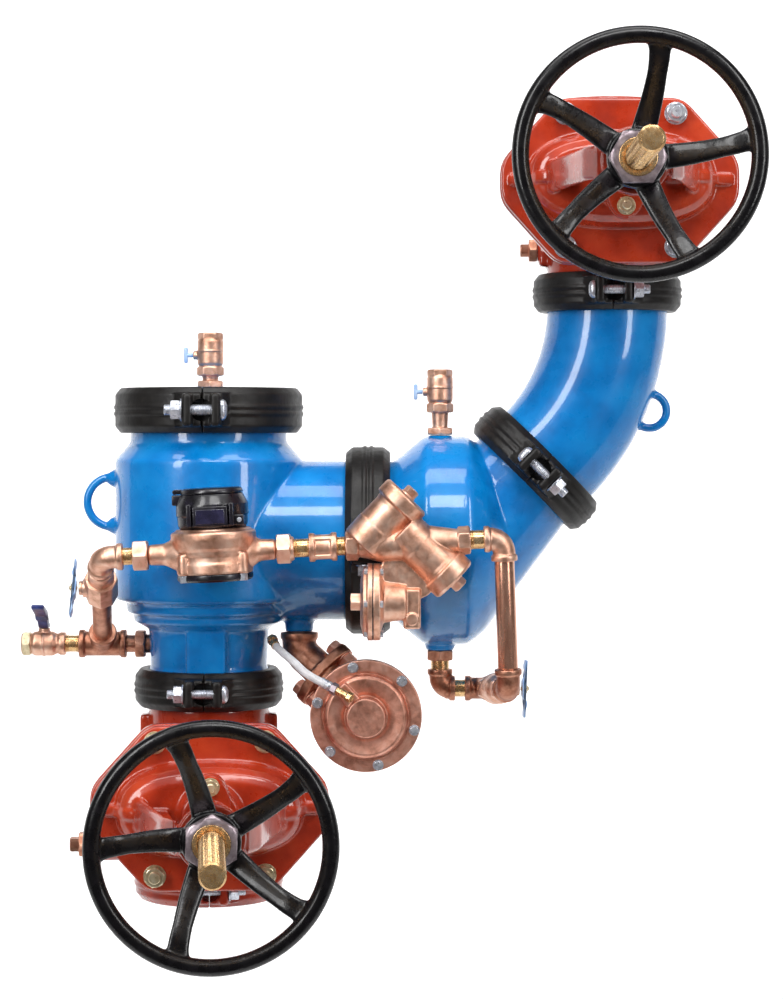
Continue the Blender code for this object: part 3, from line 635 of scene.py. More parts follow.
ALL_MATERIALS = (
    gloss_paint("red_enamel", [(130, 32, 14), (166, 48, 22), (188, 66, 34)], (206, 104, 70)),
    gloss_paint("blue_epoxy", [(0, 104, 178), (2, 126, 204), (20, 144, 220)], (96, 184, 228)),
    black_enamel(),
    coupling_paint(),
    cast_metal("cast_bronze", [(184, 130, 104), (232, 182, 156), (246, 212, 192)], (0.38, 0.52)),
    cast_metal("cover_bronze", [(172, 116, 96), (222, 162, 140), (238, 190, 170)], (0.42, 0.56)),
    cast_metal("dark_bronze", [(116, 70, 52), (178, 122, 98), (218, 166, 140)], (0.36, 0.52)),
    machined("brass", [(196, 148, 98), (228, 186, 132), (242, 214, 170)], (0.20, 0.32), 0.85),
    machined("copper_tube", [(200, 134, 108), (228, 170, 144), (242, 198, 174)], (0.18, 0.3), 0.85,
             (1, 1, 0.15)),
    machined("steel", [(156, 160, 170), (204, 208, 218), (234, 238, 242)], (0.24, 0.38)),
    machined("gold_zinc", [(176, 158, 122), (216, 200, 164), (234, 224, 200)], (0.26, 0.4)),
    machined("wheel_nut", [(118, 104, 110), (158, 144, 150), (192, 178, 184)], (0.32, 0.46)),
    dull("braid", [(150, 150, 156), (206, 206, 210), (240, 240, 242)], (0.26, 0.38), 500, 0.4),
    dull("handle_blue", [(104, 146, 206), (140, 178, 228), (180, 206, 238)], (0.30, 0.45), 260, 0.2),
    dull("lever_navy", [(26, 34, 84), (38, 50, 112), (66, 82, 150)], (0.34, 0.5), 500, 0.2),
    dull("register_black", [(10, 9, 14), (17, 15, 22), (34, 31, 44)], (0.24, 0.38), 700, 0.25),
    # The register window: dark glass whose lighter bluish tone is partly a painted highlight; its shine
    # comes from the low roughness and the coat.
    dull("register_window_and_painted_highlight", [(20, 18, 34), (32, 30, 52), (50, 48, 76)], (0.08, 0.16), 300, 0.8, 0.05),
)
# The frame holds materials of the same names, so these have a number after a dot that the keys leave out.
MATERIALS = {material.name.partition(".")[0]: material for material in ALL_MATERIALS}
SLOTS = {"cover_bronze": "cast_bronze", "gold_zinc": "steel", "wheel_nut": "steel", "braid": "steel",
         "register_window_and_painted_highlight": "register_black"}


# ---------------------------------------------------------------- camera, light and stage


def camera():
    data = bpy.data.cameras.new("camera")
    data.lens = CAMERA_LENS
    data.shift_y = CAMERA_SHIFT_Y
    data.clip_end = 50
    obj = bpy.data.objects.new("camera", data)
    obj.location = CAMERA_AT
    obj.rotation_euler = (math.pi / 2, 0, 0)
    bpy.context.scene.collection.objects.link(obj)
    bpy.context.scene.camera = obj


def softbox(name, azimuth_deg, elevation_deg, distance, width, height, watts):
    """A soft light aimed at the object's middle; azimuth 0 is in front and positive to the right."""
    target = Vector((280, 0, 560)) * MM
    azimuth, elevation = math.radians(azimuth_deg), math.radians(elevation_deg)
    flat = math.cos(elevation)
    away = Vector((math.sin(azimuth) * flat, -math.cos(azimuth) * flat, math.sin(elevation)))
    data = bpy.data.lights.new(name, "AREA")
    data.shape = "RECTANGLE"
    data.size = width
    data.size_y = height
    data.energy = watts
    obj = bpy.data.objects.new(name, data)
    obj.location = target + away * distance
    obj.rotation_euler = away.to_track_quat("Z", "Y").to_euler()
    bpy.context.scene.collection.objects.link(obj)


def see_through_from_behind(surface):
    """Clears the back of a sheet, so that it hides nothing when the object is looked at from behind it."""
    side, clear, mix = (surface.node(kind) for kind in ("NewGeometry", "BsdfTransparent", "MixShader"))
    output = next(node for node in surface.nodes if node.type == "OUTPUT_MATERIAL")
    surface.links.new(side.outputs["Backfacing"], mix.inputs["Fac"])
    surface.links.new(surface.shader.outputs["BSDF"], mix.inputs[1])
    surface.links.new(clear.outputs["BSDF"], mix.inputs[2])
    surface.links.new(mix.outputs["Shader"], output.inputs["Surface"])


def stage():
    """A white studio sweep in metres: floor, curve and backdrop in one sheet, dimmer near the floor."""
    front_y, back_y, floor_z, top_z, radius = -1.4, 3.2, -1.3, 3.4, 0.5
    profile = [(front_y, floor_z), (back_y - radius, floor_z)]
    for i in range(1, 13):
        angle = math.radians(90 * i / 12)
        profile.append((back_y - radius + radius * math.sin(angle),
                        floor_z + radius * (1 - math.cos(angle))))
    profile.append((back_y, top_z))
    points = [(x, y, z) for y, z in profile for x in (-9, 9.5)]
    faces = [(i, i + 1, i + 3, i + 2) for i in range(0, len(points) - 2, 2)]
    mesh = bpy.data.meshes.new("studio_sweep")
    mesh.from_pydata(points, [], faces)
    mesh.shade_smooth()
    surface = Surface("studio_white", specular=0.2)
    surface.colour(surface.ramp(surface.noise(0.6), [(0.0, grey(0.9)), (1.0, grey(0.94))]))
    glow = surface.ramp(surface.height(floor_z, floor_z + 0.8), [(0.0, grey(0.3)), (1.0, grey(1))])
    surface.links.new(glow, surface.shader.inputs["Emission Color"])
    surface.shader.inputs["Emission Strength"].default_value = 0.62
    see_through_from_behind(surface)
    mesh.materials.append(surface.material)
    sweep_sheet = bpy.data.objects.new("studio_sweep", mesh)
    bpy.context.scene.collection.objects.link(sweep_sheet)


def light():
    world = bpy.data.worlds.new("studio")
    world.use_nodes = True
    background = world.node_tree.nodes["Background"]
    background.inputs["Color"].default_value = grey(1)
    background.inputs["Strength"].default_value = 0.08
    bpy.context.scene.world = world
    bpy.context.scene.view_settings.view_transform = "Standard"
    softbox("left_box", -38, 22, 3.2, 0.7, 2.6, 66)
    softbox("right_box", 44, 20, 3.2, 0.55, 2.6, 46)
    softbox("front_box", 6, 44, 3.4, 1.6, 0.8, 44)
    softbox("top_box", 0, 76, 2.8, 3.4, 1.0, 52)


# ---------------------------------------------------------------- gate valves


def valve_body(prefix, frame, plug_side):
    up, front = place((0, 0, 0), frame=frame), front_of(frame)
    half = VALVE_LENGTH / 2
    groove = [(PIPE_R - 1.5, half), (PIPE_R, half - 1.5), (PIPE_R, half - 16), (PIPE_R - 2.4, half - 16),
              (PIPE_R - 2.4, half - 25), (PIPE_R, half - 25)]
    mirrored = [(r, -z) for r, z in reversed(groove)]
    flange = [(x, y * 1.03) for x, y in BONNET_FLANGE]
    shapes = [lathe([(0, half), *groove, *mirrored, (0, -half)], up, 96, 0.5),
              rod(98, -46, 46, up, 96, 20),
              loft([oval(96, 46, 0, 5), oval(98, 46, 190, 5), oval(104, 54, FLANGE_OUT + 4, 5)], front),
              prism(flange, FLANGE_OUT, FLANGE_OUT + FLANGE_THICK, front, 16, 3)]
    for side in (-1, 1):
        for way in (-1, 1):
            shapes.append(box((side * 66, way * 64, -18), (side * 96, way * 97, 18), front, 4))
        gusset = [(90, 20), (90, FLANGE_OUT + 4), (140, FLANGE_OUT + 4), (104, 150)]
        shapes.append(prism([(side * x, y) for x, y in gusset], -6, 6, side_on_to(frame), 8, 2))
    boss = place(plug_side, (-1, 0, 0), (0, 0, 1), frame)
    shapes.append(lathe([(0, 0), (17, 0), (22, -14), (22, -60), (0, -60)], boss, 48, 3))
    box_low, box_high = (-CAVITY_R, -CAVITY_HALF, 0), (CAVITY_R, CAVITY_HALF, FLANGE_OUT + FLANGE_THICK + 5)
    cuts = [rod(BORE_R, -half - 5, half + 5, up, 96), rod(CAVITY_R, -CAVITY_HALF, CAVITY_HALF, up, 96),
            box(box_low, box_high, front, 6)]
    piece(prefix + "_valve_casting", cast(shapes, 2.2, cuts), "red_enamel",
          replaces=[prefix + "_valve_body"])
    piece(prefix + "_body_plug", [flats(30, 0.5, 12, boss), flats(17, 10, 24, boss, 4)], "dark_bronze")


def bonnet(prefix, frame):
    front = front_of(frame)
    side_on = side_on_to(frame)
    flange = [(x * 0.99, y * 1.02) for x, y in BONNET_FLANGE]
    dome_rings = [(123, 64, BONNET_FACE - 5), (121, 62, BONNET_FACE + 10), (117, 58, DOME_OUT - 15),
                  (110, 51, DOME_OUT - 5), (98, 41, DOME_OUT)]
    neck = [(0, STUFFING_OUT), (38, STUFFING_OUT), (37, DOME_OUT + 8), (48, DOME_OUT - 6),
            (0, DOME_OUT - 6)]
    shapes = [prism(flange, BONNET_OUT, BONNET_FACE, front, 16, 3),
              loft([oval(x, y, z, 2.5) for x, y, z in dome_rings], front),
              lathe(neck, front, 64, 4),
              loft([oval(29, 57, z, 2.2) for z in (STUFFING_OUT - 15, STUFFING_OUT)], front),
              lathe([(0, 505), (42, 505), (42, 486), (40, 470), (0, 470)], front, 64, 2.5)]
    for side in (-1, 1):
        arm = [(56, 290), (98, 290), (61, 462), (42, 498), (36, 498), (38, 471), (40, 455)]
        cap = [(86, 290), (101, 290), (62, 464), (44, 500), (40, 492), (52, 460)]
        rib = [(70, BONNET_FACE - 6), (147, BONNET_FACE - 6), (147, BONNET_FACE + 2),
               (126, BONNET_FACE + 14), (112, DOME_OUT - 2), (100, DOME_OUT + 6), (70, DOME_OUT + 6)]
        for outline, half, edge in ((arm, 7, 2), (cap, 21, 7), (rib, 7, 3)):
            shapes.append(prism([(side * x, y) for x, y in outline], -half, half, side_on, 5, edge))
    cuts = [box((-CAVITY_R, -CAVITY_HALF, BONNET_OUT - 5), (CAVITY_R, CAVITY_HALF, DOME_OUT - 14), front, 3),
            rod(STEM_R + 1, BONNET_OUT, STUFFING_OUT + 5, front), rod(NUT_R + 0.6, 465, 510, front)]
    piece(prefix + "_bonnet_casting", cast(shapes, 2.0, cuts, 3), "red_enamel",
          replaces=[prefix + "_bonnet"])


def bonnet_fasteners(prefix, frame, nut_look):
    front = front_of(frame)
    nuts = []
    for x in (-72, 72):
        for y in (-87, 87):
            nuts += nut(turned(lift(front, BONNET_FACE - 0.4, x, y), 13 * x / 72), 24, 14, 8, 20)
            nuts += nut(flipped(lift(front, FLANGE_OUT + 0.4, x, y)), 24, 11)
    piece(prefix + "_bonnet_bolts", nuts, nut_look)
    gland = [loft([oval(27, 56, z, 2.2) for z in (STUFFING_OUT + 4, STUFFING_OUT + 13)], front),
             lathe([(0, STUFFING_OUT + 22), (23, STUFFING_OUT + 22), (25, STUFFING_OUT + 12),
                    (25, STUFFING_OUT - 2), (0, STUFFING_OUT - 2)], front)]
    stem_hole = rod(STEM_R + 0.8, STUFFING_OUT - 6, STUFFING_OUT + 30, front)
    piece(prefix + "_gland_follower", cast(gland, 1.2, [stem_hole], 3), "red_enamel")
    bolts = []
    for y in (-42, 42):
        bolts += nut(lift(front, STUFFING_OUT + 13, 0, y), 19, 12, 6, 17)
        bolts.append(rod(6, STUFFING_OUT - 1, STUFFING_OUT + 5, lift(front, 0, 0, y), 24))
    piece(prefix + "_gland_bolts", bolts, "gold_zinc")


def stem(prefix, frame, opening):
    front = front_of(frame)
    low, high = opening + STEM_POCKET + GAP, opening + STEM_POCKET + STEM_LENGTH
    screw = thread(STEM_R, THREAD_START_OUT, high - 1, STEM_LEAD / STEM_STARTS, front, 40, STEM_STARTS)
    shapes = [rod(STEM_R, low, THREAD_START_OUT + 6, front, 48), screw,
              lathe([(0, high), (4, high), (10, high - 0.6), (13.2, high - 1), (14, high - 4),
                     (0, high - 4)], front, 40, 0.6)]
    piece(prefix + "_threaded_stem", shapes, "brass", prefix + "_rising_stem", [prefix + "_stem"])


def spoke(front, degrees):
    """A flat dished spoke that bows a little to one side."""
    route = smooth([(22, -1, 517), (44, -3, 522), (76, -4.5, 539), (110, -3.5, 559), (136, -0.5, 568),
                    (146, 0, 570)], 6)
    widths = np.interp([p.x for p in route], [22, 60, 100, 126, 140], [16, 14, 12, 13, 18])
    return sweep(route, widths, turned(front, degrees), 32, (0, 1, 0), 0.34, 3.2)


def handwheel(prefix, frame, first_spoke_deg):
    front = front_of(frame)
    hub = [(0, WHEEL_NUT_OUT - 0.5), (36, WHEEL_NUT_OUT - 0.5), (37, 520), (33, HUB_OUT), (0, HUB_OUT)]
    shapes = [torus(RIM_R, RIM_SECTION_R, RIM_OUT, front, 144, 28), lathe(hub, front, 64, 3)]
    shapes += [spoke(front, first_spoke_deg + 360 * i / SPOKES) for i in range(SPOKES)]
    wheel = cast(shapes, 1.5, [rod(NUT_R + 0.4, 500, 560, front)], 4)
    piece(prefix + "_wheel_casting", wheel, "black_enamel", prefix + "_wheel", [prefix + "_handwheel"])
    collar = [(NUT_R, 545), (NUT_R, 469.7), (34, 469.7), (34, 458), (STEM_R + 0.6, 458), (STEM_R + 0.6, 545)]
    piece(prefix + "_yoke_sleeve", [lathe(collar, front, 64, 1)], "brass", prefix + "_wheel",
          [prefix + "_yoke_nut"])
    solid_nut = helper(mesh_of([flats(62, WHEEL_NUT_OUT, 545, turned(front, first_spoke_deg + 22))]))
    wheel_nut = drilled(solid_nut, [rod(NUT_R + 0.3, 520, 560, front)])
    piece(prefix + "_wheel_nut", wheel_nut, "wheel_nut", prefix + "_wheel")


def gate_valve(prefix, x, z, yaw, opening, first_spoke_deg, plug_at, nut_look):
    at = Matrix.Translation(Vector((x, 0, z)) * MM) @ Matrix.Rotation(yaw, 4, "Z")
    valve_body(prefix, at, plug_at)
    bonnet(prefix, at)
    bonnet_fasteners(prefix, at, nut_look)
    stem(prefix, at, opening)
    handwheel(prefix, at, first_spoke_deg)


# ---------------------------------------------------------------- couplings


def coupling_section(pipe_r, outer_r, width):
    """A housing's section as a loop: chamfered shoulders and a grooved band round the middle."""
    w, land = width / 2, outer_r - 1.8
    outer = [(outer_r - 9.5, w), (outer_r - 8.5, w - 1), (land, w - 9.5), (land, 7.5), (outer_r, 6.5),
             (outer_r, 2.5), (land, 1.6)]
    bore = pipe_r + GAP
    return [(bore, w), *outer, *[(r, -z) for r, z in reversed(outer)], (bore, -w)]


def housing_half(pipe_r, outer_r, width, at, side):
    """Half a housing, a hair short of half a turn, with an ear and a bolt pocket at each end."""
    section = soften(coupling_section(pipe_r, outer_r, width), 1.0)
    half = EAR_SHARE * width
    rings = []
    for i in range(61):
        angle = math.radians((-89.9 + 179.8 * i / 60) + (0 if side > 0 else 180))
        rings.append([(p.x * math.cos(angle), p.x * math.sin(angle), p.y) for p in section])
    shapes, pockets = [loft(rings, at)], []
    for way in (-1, 1):
        ear = [(12, outer_r - 16), (12, outer_r + 17), (15, outer_r + 20.5), (23, outer_r + 20.5),
               (26, outer_r + 17), (28, outer_r + 3), (46, outer_r - 16)]
        shapes.append(prism([(side * x, way * y) for x, y in ear], -half, half, at, 3, 5))
        low, high = (side, way * (outer_r - 20), -half), (side * 22, way * (outer_r + 9), half)
        shapes.append(box(low, high, at, 3))
        eye_at = place((0, 0, 0), (0, way, 0), frame=at)
        pockets.append(rod(15.5, outer_r - 6, outer_r + 30, eye_at, 48, 1.5))
    return cast(shapes, 1.5, pockets, 1)


def track_bolt(radius, across, at, nut_side):
    """A bolt along the shape's own X between two ears, with a nut at one end and an oval head."""
    along = place((0, 0, 0), (nut_side, 0, 0), (0, 0, 1), at)
    shapes = nut(lift(along, 26.5), across, across * 0.62, radius, across * 0.62 + 9)
    shapes.append(thread(radius, -24, 30, 2.2, along, 24))
    head = [(1.9, 1.45, -26.4), (1.9, 1.45, -29), (1.6, 1.2, -32.5), (0.9, 0.7, -34.5)]
    shapes.append(loft([oval(radius * wide, radius * tall, z) for wide, tall, z in head], along))
    return shapes


def coupling(name, halves, housing, at, material="coupling_black", nut_side=1, big=False):
    for side, half_name in zip((-1, 1), halves):
        node = f"{name}_coupling_{half_name}"
        piece(f"{name}_housing_{half_name}", housing_half(*housing, at, side), material, replaces=[node])
    radius, across, out = (7.5, 25, 5.5) if big else (6.4, 22, 9)
    bolt_r = housing[1] + out
    bolts = track_bolt(radius, across, lift(at, 0, 0, -bolt_r), nut_side)
    bolts += track_bolt(radius, across, lift(at, 0, 0, bolt_r), -nut_side)
    piece(name + "_coupling_bolts", bolts, "steel")


def couplings():
    leg = ELBOW_LEG * math.sqrt(0.5)
    diagonal = place((OUTLET_X - leg, 0, ELBOW_CORNER_Z - leg), (1, 0, 1), (1, 0, -1))
    sides, stack = ("left", "right"), ("upper", "lower")
    supply = place((0, 0, 0), frame=Matrix.Rotation(INLET_YAW, 4, "Z"))
    coupling("supply", sides, SMALL_HOUSING, supply, "red_enamel")
    coupling("inlet", sides, SMALL_HOUSING, place((0, 0, VALVE_LENGTH + JOINT_GAP / 2)), nut_side=-1)
    coupling("elbow", stack, SMALL_HOUSING, diagonal)
    coupling("outlet", sides, SMALL_HOUSING, place((OUTLET_X, 0, ELBOW_TOP_Z + JOINT_GAP / 2)))
    coupling("cover", sides, COVER_HOUSING, place((0, 0, COVER_Z)), nut_side=-1, big=True)
    coupling("check", stack, CHECK_HOUSING, place((CHECK_X, 0, CHECK_Z), (1, 0, 0), (0, 0, -1)), big=True)


# ---------------------------------------------------------------- main check line


def check_body():
    top, end = COVER_Z - JOINT_GAP / 2, CHECK_X - JOINT_GAP / 2
    up, along = place((0, 0, 0)), place((0, 0, CHECK_Z), (1, 0, 0), (0, 0, 1))
    outer = [(0, top), (BIG_PIPE_R, top), (BIG_PIPE_R, 611), (130.8, 586), (130.8, 392), (115, 388),
             (115, 374), (105, 371), (105, 361), (PIPE_R, 350), (81.5, 300), (81.5, 296), (PIPE_R, 294),
             (PIPE_R, BODY_BOTTOM_Z), (0, BODY_BOTTOM_Z)]
    branch = [(0, end), (BIG_PIPE_R, end), (BIG_PIPE_R, 196), (111.6, 190), (111.6, 0), (0, 0)]
    shapes = [lathe(outer, up, 144, 3), lathe(branch, along, 120, 3),
              torus(35, 6, 0, place((-136, 0, 527), (0, 1, 0)), 72, 20),
              box((-25, -PIPE_R - 3, 291), (29, -60, 366), up, 3)]
    for z in (494, 560):
        shapes.append(lathe([(0, 0), (9, 0), (14, 12), (0, 12)], place((-141, 0, z), (1, 0, 0)), 32, 3))
    shapes.append(lathe([(0, RELIEF_PORT.z), (20, RELIEF_PORT.z), (20, 358), (26, 376), (26, 400), (0, 400)],
                        place((RELIEF_PORT.x, 0, 0)), 48, 5))
    inner = [(0, top + 5), (BIG_BORE_R, top + 5), (BIG_BORE_R, 610), (118, 590), (118, 408), (98, 393),
             (98, 372), (BORE_R, 372), (BORE_R, BODY_BOTTOM_Z - 5), (0, BODY_BOTTOM_Z - 5)]
    cuts = [lathe(inner, up, 96, 0.5), rod(BIG_BORE_R - 0.7, 20, end + 5, along, 96),
            rod(13, RELIEF_PORT.z - 5, 385, place((RELIEF_PORT.x, 0, 0)))]
    piece("first_check_casting", cast(shapes, 2.4, cuts), "blue_epoxy", replaces=["check_body"])
    low = COVER_Z + JOINT_GAP / 2
    cover = [(0, 687), (16, 687), (17, 681), (60, 680), (104, 679), (BIG_PIPE_R, 674), (BIG_PIPE_R, low),
             (94, low), (88, 668), (0, 668)]
    piece("access_cover_casting", [lathe(cover, up, 120, 2)], "blue_epoxy", replaces=["access_cover"])


def second_check_body():
    start, corner = CHECK_X + JOINT_GAP / 2, OUTLET_X - (ELBOW_CORNER_Z - CHECK_Z)
    diagonal_end = (OUTLET_X - corner) * math.sqrt(2) - ELBOW_LEG - JOINT_GAP / 2
    along = place((0, 0, CHECK_Z), (1, 0, 0), (0, 0, 1))
    diagonal = place((corner, 0, CHECK_Z), (1, 0, 1), (1, 0, -1))
    outer = [(0, 430), (50, 426), (88, 416), (126, 388), (145.8, 364), (145.8, 303), (BIG_PIPE_R, 259),
             (BIG_PIPE_R, start), (0, start)]
    inner = [(0, 408), (84, 400), (116, 378), (133, 360), (133, 308), (88, 262), (88, 250),
             (BIG_BORE_R, 250), (BIG_BORE_R, start - 5), (0, start - 5)]
    outlet = [(0, diagonal_end), (PIPE_R, diagonal_end), (PIPE_R, diagonal_end - 27), (104, -20), (0, -20)]
    outlet_bore = [(0, diagonal_end + 5), (BORE_R, diagonal_end + 5), (BORE_R, diagonal_end - 27),
                   (94, -10), (0, -10)]
    foot = place((RETURN_BOSS_X, 0, 0))
    shapes = [lathe(outer, along, 144, 7), lathe(outlet, diagonal, 120, 5),
              lathe([(0, CHECK_Z + 148), (16, CHECK_Z + 148), (19, CHECK_Z + 138), (19, CHECK_Z + 120),
                     (0, CHECK_Z + 120)], foot, 48, 2),
              lathe([(0, CHECK_Z - 120), (22, CHECK_Z - 120), (22, CHECK_Z - 140), (20, CHECK_Z - 154),
                     (0, CHECK_Z - 154)], foot, 48, 2)]
    cuts = [lathe(inner, along, 96, 0.5), lathe(outlet_bore, diagonal, 96, 0.5),
            rod(12, CHECK_Z - 160, CHECK_Z - 118, foot)]
    piece("second_check_casting", cast(shapes, 2.4, cuts), "blue_epoxy", replaces=["second_check_body"])


def outlet_elbow():
    centre = (OUTLET_X - ELBOW_BEND_R, 0, ELBOW_CORNER_Z + ELBOW_BEND_R * math.tan(math.pi / 8))
    curve = arc(centre, ELBOW_BEND_R, -45, 0, 24)
    diagonal = Vector((1, 0, 1)).normalized()
    low = Vector((OUTLET_X, 0, ELBOW_CORNER_Z)) - diagonal * (ELBOW_LEG - JOINT_GAP / 2)
    high = Vector((OUTLET_X, 0, ELBOW_TOP_Z))
    eye_at = arc(centre, ELBOW_BEND_R + 88, -22, 0, 1)[0]
    outward = (eye_at - Vector(centre)).normalized()
    shapes = [sweep([low, *curve, high], PIPE_R, sides=120),
              torus(24, 6, 0, place(eye_at, (0, 1, 0)), 72, 20)]
    for way in (-1, 1):
        foot = eye_at + outward.cross(Vector((0, 1, 0))) * (24 * way) - outward * 14
        shapes.append(lathe([(0, 10), (8, 10), (13, 0), (13, -8), (0, -8)], place(foot, outward), 32, 3))
    bore = sweep([low - Vector((5, 0, 5)), *curve, high + Vector((0, 0, 5))], BORE_R, sides=96)
    piece("elbow_casting", cast(shapes, 2.4, [bore]), "blue_epoxy", replaces=["outlet_elbow"])


def check_spring(prefix, at):
    """The coil behind a check's poppet."""
    coil_radius, wire, turns, steps = 24, 2.5, 4, 20
    low, high, travel, slack = 31, 119, 40, 1.5
    count = turns * steps
    coil = []
    for i in range(count + 1):
        angle = math.tau * i / steps
        along = low + (high - low) * i / count
        coil.append((coil_radius * math.cos(angle), coil_radius * math.sin(angle), along))
    made = piece(prefix + "_check_coil", [sweep(coil, wire, at, 14)], "steel",
                 replaces=[prefix + "_check_spring"])
    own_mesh(made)


def hidden_nodes():
    """Parts inside the castings keep their CAD shapes, with the finish that the real ones have."""
    looks = {"inlet_gate": "steel", "outlet_gate": "steel", "relief_valve_piston": "dark_bronze"}
    for prefix in ("first", "second"):
        looks[prefix + "_check_seat"] = "cast_bronze"
        looks[prefix + "_check_poppet"] = "cast_bronze"
    for node, look in looks.items():
        materials = frame["nodes"][node].data.materials
        materials.clear()
        materials.append(MATERIALS[look])


# ---------------------------------------------------------------- relief valve and sensing hose


def relief_valve():
    out = place(RELIEF_CENTRE, (0, -1, 0), (1, 0, 0))
    route = bend(RELIEF_PORT - Vector((0, 0, GAP)), (127, -4, 318), (192, -42, 262), 30)
    slope = (Vector((192, -42, 262)) - Vector((127, -4, 318))).normalized()
    oval_at = place(Vector((163, -25, 287)), slope, (slope.z, 0, -slope.x))
    case = [(0, 99.7), (76.3, 99.7), (76.3, 90), (62, 87), (60, 80), (60, 24), (46, 1), (41, -29.5),
            (0, -29.5)]
    shapes = [lathe(case, out, 96, 3),
              sweep(route, 24, sides=40),
              rod(26.5, -9, 0, place(RELIEF_PORT - Vector((0, 0, GAP)))),
              loft([oval(50, 27, z, 1.9) for z in (-7, 7)], oval_at)]
    bowl = [(0, 80), (50, 80), (50, 20), (30, 20), (30, 8), (34, 4), (34, -35), (0, -35)]
    bore_route = [RELIEF_PORT + Vector((0, 0, 5)), Vector((127, 0, 330)), Vector((150, -8, 303)),
                  Vector((206, -50, 250))]
    cuts = [rod(55, 86, 105, out, 72), sweep(bore_route, 14),
            lathe(bowl, out, 72, 0.5), rod(8.6, 75, 90, out)]
    piece("relief_body_casting", cast(shapes, 1.5, cuts, 3), "dark_bronze", replaces=["relief_valve_body"])
    neck_nuts = []
    for way in (-1, 1):
        neck_nuts += nut(lift(oval_at, 7, 36 * way), 21, 14, 7, 17)
        neck_nuts += nut(flipped(lift(oval_at, -7, 36 * way)), 21, 12)
    piece("relief_neck_bolts", neck_nuts, "cover_bronze")

    profile = [(0, 139), (25.5, 139), (27, 137), (27, 121), (29.5, 119), (33, 121), (52, 124), (56, 121),
               (57, 114.5), (58.5, 111.5), (60.5, 113), (76.3, 113), (76.3, 100.2), (50, 100.2), (50, 113),
               (0, 113)]
    pad = prism([(24, -11), (55, -9), (55, 9), (24, 11)], 116, 131, turned(out, 130), 3, 2)
    cover = cast([lathe(profile, out, 144, 1), pad], 0.9, (), 1)
    piece("relief_cover_casting", cover, "cover_bronze", replaces=["relief_valve_cover"])
    screws = []
    for degrees in COVER_SCREW_DEG:
        seat = lift(turned(out, degrees), 112.8, 68.5)
        screws += [rod(7.4, 0, 1.4, seat, 32, 0.3), flats(10.5, 1.4, 7, turned(seat, degrees * 2.3))]
    piece("relief_cover_screws", screws, "steel")


def sensing_hose():
    """A braided hose between the relief cover and the body, with its end fittings."""
    path = smooth(HOSE_ROUTE, 20)
    lengths = np.concatenate([[0], np.cumsum([(b - a).length for a, b in zip(path, path[1:])])])
    inside_crimp = 18
    path, lengths = path[inside_crimp:], lengths[inside_crimp:]
    piece("hose_core", [sweep(path, 4.8, sides=20)], "braid", replaces=["sensing_hose"])
    strands, turn_mm = 11, 30.0
    normal = Vector((0, 0, 1))
    frames = []
    for before, after in zip(path[:1] + path[:-1], path[1:] + path[-1:]):
        tangent = (after - before).normalized()
        normal = (normal - tangent * normal.dot(tangent)).normalized()
        frames.append((normal, tangent.cross(normal)))
    shapes = []
    for way in (-1, 1):
        for k in range(strands):
            route = []
            for point, (a, b), length in zip(path, frames, lengths):
                angle = way * math.tau * length / turn_mm + math.tau * k / strands
                route.append(point + (a * math.cos(angle) + b * math.sin(angle)) * 4.7)
            shapes.append(sweep(route, 0.8, sides=6))
    piece("hose_braid", shapes, "braid")
    toward = (Vector(HOSE_ROUTE[1]) - Vector(HOSE_ROUTE[2])).normalized()
    crimp_at = place(Vector(HOSE_ROUTE[1]) - toward * 22, toward)
    crimp = [(0, 17), (6.2, 17), (6.8, 13), (6.1, 11), (6.8, 9), (6.1, 7), (6.6, 0), (0, 0)]
    piece("hose_crimp", [lathe(crimp, crimp_at, 40, 0.6)], "steel")
    piece("hose_nut", [flats(14.5, 17.4, 26, crimp_at)], "wheel_nut")
    tip = Vector(HOSE_ROUTE[1]) + toward * 27
    brass = [rod(5.6, 24, 50, crimp_at, 40), flats(12.5, 42, 50, crimp_at),
             sweep([tip - toward * 3, Vector((199, -117, 266))], 5.6, sides=32)]
    piece("hose_elbow", cast(brass, 0.7, (), 1), "brass")
    far = (path[-1] - path[-6]).normalized()
    far_at = place(path[-1] - far * 14, far)
    piece("hose_body_fitting", [rod(6.3, -10, 2, far_at, 32), flats(13, 2, 12, far_at)], "brass")


# ---------------------------------------------------------------- bypass line


def bypass_point(x):
    """The point of the bypass line's axis at this X."""
    return Vector((x, BYPASS_Y, BYPASS_LEFT.z + (x - BYPASS_LEFT.x) * BYPASS_RISE))


def band(radius, length, at, width=7.0, extra=2.6):
    """The end of a threaded fitting: a short barrel with a raised band at the mouth."""
    profile = [(0, 0), (radius + extra, 0), (radius + extra, width), (radius, width + 2),
               (radius, length), (0, length)]
    return lathe(profile, at, 48, 1.2)


def banded_elbow(name, material, start, corner, end, radius, bend_r, replaces):
    """A cast threaded elbow with a raised band at each mouth."""
    start, corner, end = Vector(start), Vector(corner), Vector(end)
    turn = bend(start, corner, end, bend_r)[1:-1]
    shapes = [sweep([start, *turn, end], radius, sides=40)]
    for mouth in (start, end):
        shapes.append(band(radius, 14, place(mouth, corner - mouth)))
    beyond = [mouth - (corner - mouth).normalized() * 3 for mouth in (start, end)]
    cuts = [sweep([beyond[0], *turn, beyond[1]], 10)]
    piece(name, cast(shapes, 0.95, cuts, 3), material, replaces=replaces)


def nipple(at, start, end, radius=11.5):
    """A short nipple, with thread showing only beside the fittings."""
    threads = [thread(radius + 0.5, low, low + 6, 1.8, at, 32) for low in (start, end - 6)]
    return [rod(radius, start, end, at, 40), *threads]


